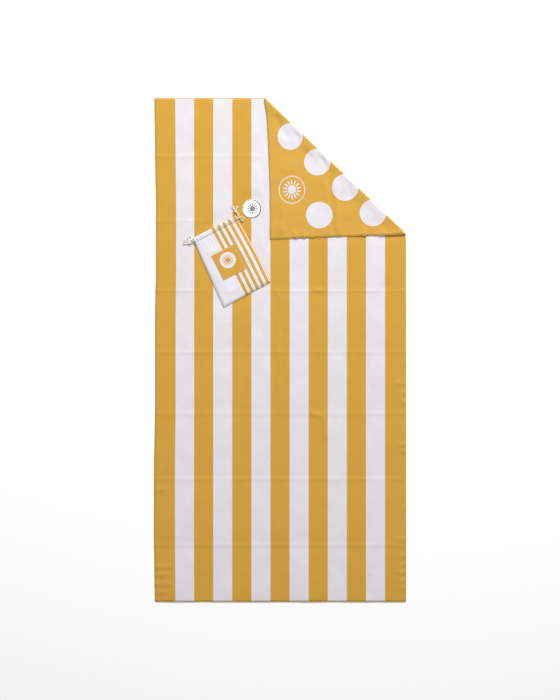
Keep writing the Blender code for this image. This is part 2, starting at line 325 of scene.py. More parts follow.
def new_group(name: str, inputs: dict[str, object],
              outputs: Sequence[str]) -> tuple[Tree, Iterable, Iterable]:
    """Start a shader node group.

    Args:
        name: The group's name.
        inputs: Default value of each input by name, or None for a vector.
        outputs: Names of its outputs, which are all numbers.

    Returns:
        The tree to build in, and the sockets of its inputs and of its outputs.
    """
    group = bpy.data.node_groups.new(name, "ShaderNodeTree")
    for label, value in inputs.items():
        kind = "NodeSocketVector" if value is None else "NodeSocketFloat"
        socket = group.interface.new_socket(label, in_out="INPUT", socket_type=kind)
        if value is not None:
            socket.default_value = value
    for label in outputs:
        group.interface.new_socket(label, in_out="OUTPUT", socket_type="NodeSocketFloat")
    return (Tree(group), group.nodes.new("NodeGroupInput").outputs,
            group.nodes.new("NodeGroupOutput").inputs)


@dataclass(frozen=True)
class Effects:
    """The node groups that several materials share."""

    weave: bpy.types.NodeTree
    mottle: bpy.types.NodeTree
    dots: bpy.types.NodeTree
    sun: bpy.types.NodeTree

    @classmethod
    def build(cls) -> "Effects":
        """Make each node group once."""
        return cls(weave_group(), mottle_group(), dots_group(), sun_group())


def weave_group() -> bpy.types.NodeTree:
    """Make the relief of a fine rib weave with brushed fibres.

    Returns:
        A group with the height in metres and a mask of the ribs.
    """
    tree, given, result = new_group(
        "cloth_weave", {"Vector": None, "Pitch": 0.001, "Weave": 0.0001, "Nap": 0.0001},
        ["Height", "Ribs"])
    wander_scale, wander_turn, nap_scale = 260.0, 2.4, 1900.0
    turns = tree.math("DIVIDE", 2.0 * math.pi, given["Pitch"])
    wander = tree.noise(given["Vector"], wander_scale, 2.0)
    x, y, _ = tree.split(given["Vector"])
    drift = tree.math("MULTIPLY", wander, wander_turn)
    across = tree.math("SINE", tree.math("MULTIPLY_ADD", x, turns, drift))
    along = tree.math("SINE", tree.math("MULTIPLY_ADD", y, turns, drift))
    ribs = tree.math("MULTIPLY_ADD", tree.math("MULTIPLY", across, along), 0.5, 0.5)
    nap = tree.noise(given["Vector"], nap_scale, 4.0, 0.7)
    height = tree.math("MULTIPLY_ADD", nap, given["Nap"],
                       tree.math("MULTIPLY", ribs, given["Weave"]))
    tree.feed(result["Height"], height)
    tree.feed(result["Ribs"], ribs)
    return tree.tree


def mottle_group() -> bpy.types.NodeTree:
    """Make the uneven depth of colour in dyed fibre, as a factor of about 1.

    Returns:
        A group with the factor and a mask of faint patches of wear.
    """
    tree, given, result = new_group(
        "fabric_mottle", {"Vector": None, "Amount": 0.03, "Patch": 0.05, "Grain": 0.002},
        ["Factor", "Patches"])
    broad = tree.noise(given["Vector"], tree.math("DIVIDE", 1.0, given["Patch"]))
    fine = tree.noise(given["Vector"], tree.math("DIVIDE", 1.0, given["Grain"]), 2.0)
    both = tree.math("ADD", tree.math("MULTIPLY_ADD", broad, 2.4, -1.2),
                     tree.math("MULTIPLY_ADD", fine, 2.0, -1.0))
    factor = tree.math("MULTIPLY_ADD", both, given["Amount"], 1.0)
    tree.feed(result["Factor"], factor)
    tree.feed(result["Patches"], tree.ramp(broad, 0.42, 0.68))
    return tree.tree


def dots_group() -> bpy.types.NodeTree:
    """Make a print of round dots in staggered rows.

    Returns:
        A group with the dots' mask.
    """
    tree, given, result = new_group(
        "dot_print", {"Vector": None, "Row Step": 0.08, "Column Step": 0.08, "Radius": 0.04,
                      "Soft": 0.0008}, ["Mask"])
    column, row = given["Column Step"], given["Row Step"]
    x, y, _ = tree.split(given["Vector"])
    nearest = []
    for stagger in (0.0, 1.0):
        across = tree.math("WRAP", tree.math("MULTIPLY_ADD", column, stagger, x), column,
                           tree.math("MULTIPLY", column, -1.0))
        along = tree.math("WRAP", tree.math("MULTIPLY_ADD", row, stagger, y), row,
                          tree.math("MULTIPLY", row, -1.0))
        nearest.append(tree.vector("LENGTH", tree.node("CombineXYZ", {0: across, 1: along})
                                   .outputs[0], out="Value"))
    distance = tree.math("MINIMUM", *nearest)
    inside = tree.math("SUBTRACT", given["Radius"], distance)
    tree.feed(result["Mask"], tree.cover(inside, given["Soft"]))
    return tree.tree


def sun_group() -> bpy.types.NodeTree:
    """Make a plain sun: a disc with a ring of short rays that start clear of it.

    Returns:
        A group with the sun's mask.
    """
    disc_share, ray_share, ray_width = 0.46, 0.56, 0.16
    tree, given, result = new_group(
        "sun_mark", {"Vector": None, "Radius": 0.04, "Rays": 12.0, "Soft": 0.0004}, ["Mask"])
    radius = given["Radius"]
    x, y, _ = tree.split(given["Vector"])
    flat = tree.node("CombineXYZ", {0: x, 1: y}).outputs[0]
    distance = tree.vector("LENGTH", flat, out="Value")
    turn = tree.math("ARCTAN2", y, x)
    disc = tree.math("SUBTRACT", tree.math("MULTIPLY", radius, disc_share), distance)
    swing = tree.math("COSINE", tree.math("MULTIPLY", turn, given["Rays"]))
    reach = tree.math("DIVIDE", distance, radius)
    taper = tree.ramp(reach, ray_share, 1.0, -0.35, 0.85, smooth=False)
    ray = tree.math("MULTIPLY", tree.math("SUBTRACT", swing, taper),
                    tree.math("MULTIPLY", distance, ray_width))
    root = tree.math("SUBTRACT", distance, tree.math("MULTIPLY", radius, ray_share))
    tip = tree.math("SUBTRACT", radius, distance)
    ray = tree.math("MINIMUM", tree.math("MINIMUM", ray, root), tip)
    either = tree.math("MAXIMUM", disc, ray)
    tree.feed(result["Mask"], tree.cover(either, given["Soft"]))
    return tree.tree


class Material:
    """A material with one Principled shader, and the nodes that feed it."""

    def __init__(self, name: str, roughness: float = 0.8, sheen: float = 0.0,
                 coat: float = 0.0) -> None:
        """Start the material.

        Args:
            name: Its name.
            roughness: The surface's roughness where no node sets it.
            sheen: Weight of the fibres' sheen.
            coat: Weight of a clear coat.
        """
        self.material = bpy.data.materials.new(name)
        self.material.use_nodes = True
        self.tree = Tree(self.material.node_tree)
        self.shader = self.material.node_tree.nodes["Principled BSDF"]
        self.shader.inputs["Roughness"].default_value = roughness
        self.shader.inputs["Sheen Weight"].default_value = sheen
        self.shader.inputs["Sheen Roughness"].default_value = 0.5
        self.shader.inputs["Coat Weight"].default_value = coat
        self.shader.inputs["Coat Roughness"].default_value = 0.35
        self.shader.inputs["Specular IOR Level"].default_value = 0.25

    def place(self, name: str) -> Socket:
        """Return a layout stored on the mesh, as a vector in metres."""
        return self.tree.node("Attribute", attribute_name=name).outputs["Vector"]

    def colour(self, socket: Socket) -> None:
        """Feed the base colour."""
        self.tree.feed(self.shader.inputs["Base Color"], socket)

    def roughness(self, socket: Socket) -> None:
        """Feed the roughness."""
        self.tree.feed(self.shader.inputs["Roughness"], socket)

    def relief(self, height: Socket, strength: float = 1.0) -> None:
        """Feed the normal from a height in metres."""
        bump = self.tree.node("Bump", {"Strength": strength, "Distance": 1.0, "Height": height})
        self.tree.feed(self.shader.inputs["Normal"], bump.outputs[0])


def cloth_mottle(tree: Tree, place: Socket, finish: ClothFinish,
                 effects: Effects) -> bpy.types.Node:
    """Place the unevenness of colour that a cloth's finish asks for."""
    return tree.group(effects.mottle, Vector=place, Amount=finish.mottle, Patch=finish.patch,
                      Grain=finish.grain)


def dress_cloth(made: Material, place: Socket, printed: Socket,
                mottle: bpy.types.Node, finish: ClothFinish, effects: Effects) -> Material:
    """Give a printed colour its cloth's weave, unevenness and roughness.

    Args:
        made: The cloth's material.
        place: The layout that the weave follows.
        printed: The printed colour.
        mottle: The cloth's mottle node.
        finish: The cloth's finish.
        effects: The shared node groups.

    Returns:
        The material.
    """
    tree = made.tree
    weave = tree.group(effects.weave, Vector=place, Pitch=finish.pitch, Weave=finish.weave,
                       Nap=finish.nap)
    ribs = tree.math("MULTIPLY_ADD", weave.outputs["Ribs"], finish.rib_shade,
                     1.0 - finish.rib_shade / 2)
    made.colour(tree.shaded(printed, tree.math("MULTIPLY", mottle.outputs["Factor"], ribs)))
    made.roughness(tree.math("MULTIPLY_ADD", mottle.outputs["Patches"], finish.wear_and_hole_shade,
                             finish.roughness - finish.wear_and_hole_shade / 2))
    made.relief(weave.outputs["Height"])
    return made


def thread_material(finish: ThreadFinish, effects: Effects, layout: str) -> Material:
    """Dress spun thread, cord or yarn.

    Args:
        finish: The thread's finish.
        effects: The shared node groups.
        layout: The layout on the mesh that the fibres follow.

    Returns:
        The material. It is the one of the finish's name where there is one already: from an
        earlier call, or the frame's own plain one, as for the cords and the edge thread.
    """
    known = bpy.data.materials.get(finish.name)
    made = Material(finish.name, finish.roughness, finish.sheen)
    if known is not None:
        bpy.data.materials.remove(made.material)
        made.material = known
        return made
    tree = made.tree
    place = made.place(layout)
    mottle = tree.group(effects.mottle, Vector=place, Amount=finish.mottle, Patch=finish.patch,
                        Grain=finish.fibre)
    fibre = tree.noise(place, 1.0 / finish.fibre, 3.0, 0.65)
    colour = tree.mix(tree.ramp(fibre, 0.35, 0.62), finish.shade, finish.colour)
    made.colour(tree.shaded(colour, mottle.outputs["Factor"]))
    made.roughness(tree.math("MULTIPLY_ADD", fibre, 0.15, finish.roughness - 0.07))
    made.relief(tree.math("MULTIPLY", fibre, finish.depth))
    return made


# Mesh building -------------------------------------------------------------------------------

def mesh_piece(name: str, points: Array, faces: Loops, materials: Sequence[Material],
               slots: Optional[Sequence[int]] = None) -> Piece:
    """Make a smooth mesh object.

    Args:
        name: The piece's name.
        points: Its vertices, in metres.
        faces: Vertex numbers of each face, anticlockwise from outside.
        materials: Its materials, in the order of its slots.
        slots: Material slot of each face, or None where there is one material.

    Returns:
        The piece, in the scene.
    """
    mesh = bpy.data.meshes.new(name)
    mesh.from_pydata([tuple(p) for p in points], [], [tuple(f) for f in faces])
    for material in materials:
        mesh.materials.append(material.material)
    if slots is not None:
        mesh.polygons.foreach_set("material_index", slots)
    mesh.polygons.foreach_set("use_smooth", [True] * len(mesh.polygons))
    mesh.update()
    piece = bpy.data.objects.new(name, mesh)
    bpy.context.scene.collection.objects.link(piece)
    return piece


def store_layout(piece: Piece, name: str, places: Array) -> None:
    """Store a layout on a mesh's vertices, for its materials to read.

    Args:
        piece: The mesh.
        name: The layout's name.
        places: A point in metres for each vertex, of two or three numbers.
    """
    full = np.zeros((len(piece.data.vertices), 3), np.float32)
    full[:, :places.shape[1]] = places
    layer = piece.data.attributes.new(name, "FLOAT_VECTOR", "POINT")
    layer.data.foreach_set("vector", full.ravel())


def move_vertices(piece: Piece, points: Array) -> None:
    """Give a mesh's vertices new places."""
    piece.data.vertices.foreach_set("co", np.asarray(points, np.float32).ravel())
    piece.data.update()


def smoothstep(low: float, high: float, value: Array) -> Array:
    """Ease from 0 at low to 1 at high."""
    share = np.clip((value - low) / (high - low), 0.0, 1.0)
    return share * share * (3.0 - 2.0 * share)


def smooth_route(points: Sequence[Point], step: float) -> Array:
    """Run a smooth curve through points.

    Args:
        points: The points, in order.
        step: The distance wanted between the curve's samples.

    Returns:
        Evenly spaced points of the curve.
    """
    held = np.asarray(points, float)
    held = np.vstack([2 * held[0] - held[1], held, 2 * held[-1] - held[-2]])
    fine = []
    for before, start, end, after in zip(held, held[1:], held[2:], held[3:]):
        s = np.linspace(0.0, 1.0, 24, endpoint=False)[:, None]
        fine.append(0.5 * (2 * start + (end - before) * s
                           + (2 * before - 5 * start + 4 * end - after) * s ** 2
                           + (3 * start - before - 3 * end + after) * s ** 3))
    fine = np.vstack([*fine, held[-2:-1]])
    return even_steps(fine, step)


def run_along(line: Array) -> Array:
    """Return how far each point of a line is along it."""
    return np.concatenate([[0.0], np.cumsum(np.linalg.norm(np.diff(line, axis=0), axis=1))])


def even_steps(line: Array, step: float) -> Array:
    """Return points along a line at even steps of about the length given."""
    run = run_along(line)
    count = max(2, int(round(run[-1] / step)) + 1)
    at = np.linspace(0.0, run[-1], count)
    return np.stack([np.interp(at, run, line[:, k]) for k in range(3)], axis=1)


def frames_along(line: Array) -> tuple[Array, Array]:
    """Carry a steady pair of cross directions along a line.

    Args:
        line: The line's points.

    Returns:
        For each point, two directions across the line that don't twist about it.
    """
    run = np.gradient(line, axis=0)
    run /= np.linalg.norm(run, axis=1)[:, None]
    start = np.cross(run[0], (0.0, 0.0, 1.0))
    if np.linalg.norm(start) < 0.1:
        start = np.cross(run[0], (0.0, 1.0, 0.0))
    first = [start / np.linalg.norm(start)]
    for here in run[1:]:
        carried = first[-1] - here * (first[-1] @ here)
        first.append(carried / np.linalg.norm(carried))
    first = np.array(first)
    return first, np.cross(run, first)


def ring_faces(rings: int, sides: int, looped: bool = False) -> list[tuple[int, ...]]:
    """Return the faces that join rings of vertices, each ring to the next.

    Args:
        rings: How many rings there are.
        sides: Vertices in a ring.
        looped: Whether the last ring is joined to the first.

    Returns:
        The faces, of four vertices each.
    """
    faces = []
    for i in range(rings if looped else rings - 1):
        here, beyond = i * sides, (i + 1) % rings * sides
        for j in range(sides):
            k = (j + 1) % sides
            faces.append((here + j, here + k, beyond + k, beyond + j))
    return faces


def tube_faces(rings: int, sides: int) -> list[tuple[int, ...]]:
    """Return the faces of a tube with closed ends."""
    ends = [tuple(range(sides))[::-1], tuple((rings - 1) * sides + j for j in range(sides))]
    return ring_faces(rings, sides) + ends


def tube(line: Array, radius: Array, sides: int) -> Shape:
    """Make a round tube with closed ends.

    Args:
        line: Its centre line.
        radius: Its radius at each point, or one at each point and side.
        sides: Faces round it.

    Returns:
        Its vertices and faces.
    """
    first, second = frames_along(line)
    turn = np.arange(sides) * 2 * math.pi / sides
    radius = np.broadcast_to(np.reshape(radius, (len(line), -1)), (len(line), sides))
    ring = (np.cos(turn)[None, :, None] * first[:, None] + np.sin(turn)[None, :, None]
            * second[:, None])
    points = (line[:, None] + radius[:, :, None] * ring).reshape(-1, 3)
    return points, tube_faces(len(line), sides)


def join_parts(parts: Sequence[Shape]) -> Shape:
    """Join several lots of vertices and faces into one."""
    points, faces, first = [], [], 0
    for some, loops in parts:
        points.append(some)
        faces.extend(tuple(first + i for i in loop) for loop in loops)
        first += len(some)
    return np.vstack(points), faces


# How the cloth lies --------------------------------------------------------------------------

@dataclass(frozen=True)
class Crease:
    """A raised or pressed line in cloth.

    points run along it in metres, width is how far it spreads to each side, and height is how
    far it stands up, or down where it is negative. It fades over its ends.
    """

    points: Sequence[tuple[float, float]]
    width: float
    height: float
    fade: float = 0.03

    def lift(self, x: Array, y: Array) -> Array:
        """Return how far the crease lifts each place."""
        nearest = np.full(x.shape, np.inf)
        strength = np.zeros(x.shape)
        spans = [math.dist(a, b) for a, b in zip(self.points, self.points[1:])]
        total = sum(spans)
        before = 0.0
        for (ax, ay), (bx, by), span in zip(self.points, self.points[1:], spans):
            share = ((x - ax) * (bx - ax) + (y - ay) * (by - ay)) / span ** 2
            share = np.clip(share, 0.0, 1.0)
            away = np.hypot(x - ax - share * (bx - ax), y - ay - share * (by - ay))
            run = before + share * span
            closer = away < nearest
            nearest = np.where(closer, away, nearest)
            ends = np.minimum(run, total - run) / max(self.fade, 1e-6)
            strength = np.where(closer, np.clip(ends, 0.0, 1.0), strength)
            before += span
        fading = strength * strength * (3.0 - 2.0 * strength)
        return self.height * fading * np.exp(-(nearest / self.width) ** 2)


def waves(x: Array, y: Array, length: float, seed: int, count: int = 7) -> Array:
    """Return soft uneven waves between about -1 and 1.

    Args:
        x: Places across, in metres.
        y: Places along, in metres.
        length: The usual distance from crest to crest.
        seed: Chooses the waves.
        count: How many plain waves are added up.

    Returns:
        The height of each place.
    """
    chance = np.random.default_rng(seed)
    total = np.zeros(np.shape(x))
    for _ in range(count):
        turn = chance.uniform(0.0, math.pi)
        pitch = length * chance.uniform(0.75, 1.5)
        phase = chance.uniform(0.0, 2.0 * math.pi)
        total += np.sin(2.0 * math.pi * (x * math.cos(turn) + y * math.sin(turn)) / pitch + phase)
    return total / math.sqrt(count * 2.0)


@dataclass(frozen=True)
class Ripple:
    """Soft uneven waves in cloth, by their height, their usual length and a seed."""

    height: float
    length: float
    seed: int

    def lift(self, x: Array, y: Array) -> Array:
        """Return how far the waves lift each place."""
        return self.height * waves(x, y, self.length, self.seed)


@dataclass(frozen=True)
class Gathers:
    """Small folds across cloth that is drawn up, by their height, pitch and unevenness."""

    height: float
    pitch: float
    drift: Ripple

    def swing(self, x: Array) -> Array:
        """Return how high the folds are at places across the cloth, from -1 to 1."""
        return np.sin(2 * math.pi * x / self.pitch + self.drift.lift(x, 0 * x))


def joint_named(name: str) -> dict:
    """Return what the frame says of a joint."""
    return next(joint for joint in frame["joints"] if joint["name"] == name)


def rightward(axis: Sequence[float]) -> Vector:
    """Return an axis as a vector with its end towards +X."""
    vector = Vector(axis)
    return -vector if vector.x < 0.0 else vector


@dataclass
class Fold:
    """The lay of the towel, from its flat layout to the way it lies with its corner over.

    A flat place before the fold keeps its place. One beyond it is mirrored on the fold's line and
    lies on the towel, and the short stretch between them goes round a half circle. Lengths are
    measured from the fold's hinge, along the fold and across it.
    """

    hinge: Vector
    along: Vector
    across: Vector
    half_bend: float = 0.001
    rest_height: float = 0.0006
    top_height: float = 0.0058
    flap_height: float = 0.0023
    flap_least: float = 0.0020
    puff_reach: float = 0.025
    puff_change: Ripple = Ripple(0.013, 0.10, 21)
    puff_power: float = 2.2
    wrinkles_from: tuple[float, float] = (0.0015, 0.013)
    towel_ripples: Sequence[Ripple] = (Ripple(0.00045, 0.16, 11), Ripple(0.0002, 0.06, 12))
    flap_ripples: Sequence[Ripple] = (Ripple(0.0007, 0.075, 22), Ripple(0.00025, 0.030, 23))
    panel_swell: float = 0.0013
    pressed_share: float = 0.06
    end_round: float = 0.016
    end_pull: float = 0.0016
    resting_places: Optional[Callable[[Array, Array], Array]] = None

    @classmethod
    def from_joint(cls, name: str) -> "Fold":
        """Read the fold's line from the frame's hinge.

        Args:
            name: The joint that turns the corner.

        Returns:
            The fold, with its across direction towards the corner.
        """
        joint = joint_named(name)
        along = rightward(joint["axis"])
        across = Vector((-along.y, along.x, 0.0))
        return cls(Vector(joint["pos_m"]), along.normalized(), across.normalized())

    def split(self, u: Array, v: Array) -> tuple[Array, Array]:
        """Return how far flat places lie along the fold and across it."""
        x, y = u - self.hinge.x, v - self.hinge.y
        return (x * self.along.x + y * self.along.y, x * self.across.x + y * self.across.y)

    def place(self, t: Array, n: Array) -> tuple[Array, Array]:
        """Return x and y of places given along the fold and across it."""
        return (self.hinge.x + t * self.along.x + n * self.across.x,
                self.hinge.y + t * self.along.y + n * self.across.y)

    def lay(self, u: Array, v: Array) -> Array:
        """Lay flat places down.

        Args:
            u: Places across the flat towel.
            v: Places along it.

        Returns:
            Where the middle of the cloth lies, one point a row.
        """
        t, c = self.split(u, v)
        low = self.towel_height(u, v)
        mirrored = self.place(t, -c)
        high = self.corner_height(t, -c, *mirrored)
        foot = -self.half_bend
        feet = np.full(t.shape, foot)
        foot_low = self.towel_height(*self.place(t, feet))
        foot_high = self.corner_height(t, feet, *self.place(t, feet))
        turn = (np.clip(c / self.half_bend, -1.0, 1.0)) * math.pi / 2.0
        middle, radius = (foot_high + foot_low) / 2.0, (foot_high - foot_low) / 2.0
        bend_x, bend_y = self.place(t, foot + radius * np.cos(turn))
        bend_z = middle + radius * np.sin(turn)
        before, beyond = c <= foot, c >= -foot
        x = np.where(before, u, np.where(beyond, mirrored[0], bend_x))
        y = np.where(before, v, np.where(beyond, mirrored[1], bend_y))
        z = np.where(before, low, np.where(beyond, high, bend_z))
        drawn_in = np.interp(v, *zip(*LEFT_EDGE_DRAWN_IN)) * smoothstep(-0.25, -0.40, u)
        right_end = self.hinge + (HALF_TOWEL[0] - self.hinge.x) / self.along.x * self.along
        rounded = np.exp(-(np.hypot(x - right_end.x, y - right_end.y) / self.end_round) ** 2)
        corner_bow = np.interp(u, *zip(*CORNER_EDGE_DRAWN_IN)) * smoothstep(0.66, 0.80, v)
        corner_bow *= smoothstep(-0.002, 0.020, c)
        x = x + drawn_in + corner_bow - self.end_pull * rounded
        return np.stack([x, y, z], axis=1)

    def lay_thick(self, u: Array, v: Array, height: Array) -> Array:
        """Lay down places that stand off the middle of the cloth.

        Args:
            u: Places across the flat towel.
            v: Places along it.
            height: How far each stands off towards the striped side.

        Returns:
            Where they lie, one point a row.
        """
        small = 0.00005
        over_u = self.lay(u + small, v) - self.lay(u - small, v)
        over_v = self.lay(u, v + small) - self.lay(u, v - small)
        normal = np.cross(over_u, over_v)
        normal /= np.linalg.norm(normal, axis=1)[:, None]
        return self.lay(u, v) + normal * height[:, None]

    def blend(self, piece: Piece) -> None:
        """Bake a piece's transform into its mesh."""
        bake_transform(piece)

    def towel_height(self, x: Array, y: Array) -> Array:
        """Return the height of the cloth's middle where it lies on the floor."""
        loose = 1.0 - self.resting_places(x, y)
        lift = np.zeros(np.shape(x))
        for crease in TOWEL_CREASES:
            lift += crease.lift(x, y)
        for ripple in self.towel_ripples:
            lift += ripple.height + ripple.lift(x, y)
        lift += self.panels(x, y)
        free = self.pressed_share + (1.0 - self.pressed_share) * loose
        return self.rest_height + np.maximum(lift, 0.0) * free

    def panels(self, x: Array, y: Array) -> Array:
        """Return the swell of the cloth between the creases of its packed folds."""
        swell = np.zeros(np.shape(x))
        chance = np.random.default_rng(5)
        columns = np.array([-HALF_TOWEL[0], *PACKED_COLUMNS, HALF_TOWEL[0]])
        rows = np.array([-HALF_TOWEL[1], *PACKED_ROWS, HALF_TOWEL[1]])
        for left, right in zip(columns, columns[1:]):
            for low, high in zip(rows, rows[1:]):
                across = np.clip((x - left) / (right - left), 0.0, 1.0)
                up = np.clip((y - low) / (high - low), 0.0, 1.0)
                dome = np.sin(math.pi * across) * np.sin(math.pi * up)
                swell += chance.uniform(0.3, 1.3) * self.panel_swell * np.sqrt(dome + 1e-9)
        return swell

    def corner_height(self, t: Array, n: Array, x: Array, y: Array) -> Array:
        """Return the height of the turned corner's cloth.

        Args:
            t: Places along the fold.
            n: Places across it, negative on the turned corner.
            x: The same places across the towel.
            y: The same places along it.

        Returns:
            The height of the cloth's middle.
        """
        reach = self.puff_reach + self.puff_change.lift(t, 0.0 * t)
        puff = np.exp(-(np.maximum(-n, 0.0) / reach) ** self.puff_power)
        height = self.flap_height + (self.top_height - self.flap_height) * puff
        folds = np.zeros(np.shape(t))
        for crease in (*CORNER_CREASES, *self.flap_ripples):
            folds += crease.lift(x, y)
        away = smoothstep(*self.wrinkles_from, -n)
        return np.clip(height + folds * away, self.flap_least, self.top_height)


LEFT_EDGE_DRAWN_IN = ((-0.780, 0.0025), (-0.590, 0.0), (-0.360, 0.0), (-0.200, 0.0035),
                      (0.100, 0.0035), (0.250, 0.0060), (0.480, 0.0060), (0.550, 0.0045),
                      (0.800, 0.0010))
CORNER_EDGE_DRAWN_IN = ((-0.050, 0.0), (0.010, 0.0050), (0.100, 0.0062), (0.240, 0.0058),
                        (0.340, 0.0024), (0.400, 0.0))
PACKED_COLUMNS = (-0.268, -0.132, 0.0, 0.125, 0.268)
PACKED_ROWS = (-0.620, -0.410, -0.202, -0.007, 0.188, 0.409, 0.615)

TOWEL_CREASES = (
    *(Crease(((-0.42, row), (0.42, row)), 0.0045, 0.0010, fade=0.01) for row in PACKED_ROWS),
    Crease(((-0.020, 0.214), (0.002, 0.160), (-0.006, 0.100), (-0.006, 0.0), (-0.002, -0.090),
            (0.003, -0.205)), 0.0060, 0.0022, fade=0.05),
    Crease(((0.095, 0.178), (0.110, 0.192), (0.150, 0.186)), 0.0070, 0.0018),
    Crease(((0.085, -0.184), (0.108, -0.204), (0.135, -0.212), (0.145, -0.245),
            (0.146, -0.300)), 0.0065, 0.0020),
    Crease(((0.120, 0.340), (0.120, 0.200)), 0.0200, -0.0014, fade=0.05),
    Crease(((-0.268, 0.780), (-0.270, 0.630)), 0.0130, 0.0014, fade=0.05),
    Crease(((-0.128, 0.740), (-0.132, 0.600), (-0.130, 0.520)), 0.0120, 0.0014, fade=0.05),
    Crease(((-0.130, -0.010), (-0.134, -0.210)), 0.0120, 0.0016, fade=0.05),
    Crease(((-0.268, -0.420), (-0.272, -0.560), (-0.266, -0.640)), 0.0120, 0.0016, fade=0.05),
    Crease(((0.268, 0.180), (0.272, 0.020)), 0.0120, 0.0016, fade=0.05),
    Crease(((0.140, -0.420), (0.136, -0.620)), 0.0110, 0.0014, fade=0.05),
    *(Crease(((0.368 + 0.006 * (i % 3), y), (0.405, y - 0.002)), 0.0055, 0.0022, fade=0.012)
      for i, y in enumerate((-0.105, -0.135, -0.165, -0.300, -0.320, -0.500, -0.600, -0.655,
                             -0.680, -0.705, -0.730, -0.755))),
    *(Crease(((-0.405, y), (-0.350 + 0.010 * (i % 2), y + 0.003)), 0.0060, 0.0020, fade=0.015)
      for i, y in enumerate((-0.445, -0.690, -0.715, -0.745, -0.770))),
    *(Crease(((0.130 * i - 0.250, -0.705), (0.130 * i - 0.215, -0.712)), 0.0060, 0.0015)
      for i in range(5)),
)

CORNER_CREASES = (
    Crease(((0.158, 0.575), (0.160, 0.520), (0.166, 0.450), (0.172, 0.352)), 0.0055, -0.0030,
           fade=0.03),
    Crease(((0.172, 0.560), (0.178, 0.480), (0.184, 0.350)), 0.0080, 0.0034, fade=0.04),
    Crease(((0.142, 0.560), (0.148, 0.480), (0.156, 0.400)), 0.0090, 0.0014, fade=0.05),
    Crease(((-0.018, 0.750), (-0.002, 0.700), (0.022, 0.672)), 0.0068, -0.0050, fade=0.015),
    Crease(((0.066, 0.640), (0.082, 0.618), (0.102, 0.604)), 0.0062, -0.0050, fade=0.015),
    Crease(((0.050, 0.700), (0.060, 0.660), (0.052, 0.620)), 0.0065, -0.0030, fade=0.02),
    Crease(((0.128, 0.625), (0.140, 0.590), (0.146, 0.555)), 0.0056, -0.0044, fade=0.02),
    Crease(((0.215, 0.540), (0.225, 0.500), (0.220, 0.460)), 0.0075, -0.0022, fade=0.02),
    Crease(((0.010, 0.460), (0.004, 0.400), (0.010, 0.352)), 0.0080, 0.0024, fade=0.035),
    Crease(((0.024, 0.420), (0.022, 0.352)), 0.0070, -0.0010, fade=0.03),
    Crease(((0.045, 0.378), (0.055, 0.345)), 0.0045, 0.0024, fade=0.012),
    Crease(((0.072, 0.380), (0.080, 0.345)), 0.0050, 0.0024, fade=0.012),
    Crease(((0.103, 0.382), (0.104, 0.345)), 0.0050, 0.0022, fade=0.012),
    Crease(((0.262, 0.400), (0.272, 0.345)), 0.0070, 0.0024, fade=0.020),
    Crease(((0.322, 0.395), (0.334, 0.350)), 0.0075, 0.0026, fade=0.020),
    Crease(((0.395, 0.364), (0.330, 0.360), (0.290, 0.358)), 0.0120, 0.0036, fade=0.03),
    Crease(((-0.010, 0.560), (0.040, 0.590)), 0.0160, 0.0010, fade=0.05),
)


# Towel ---------------------------------------------------------------------------------------

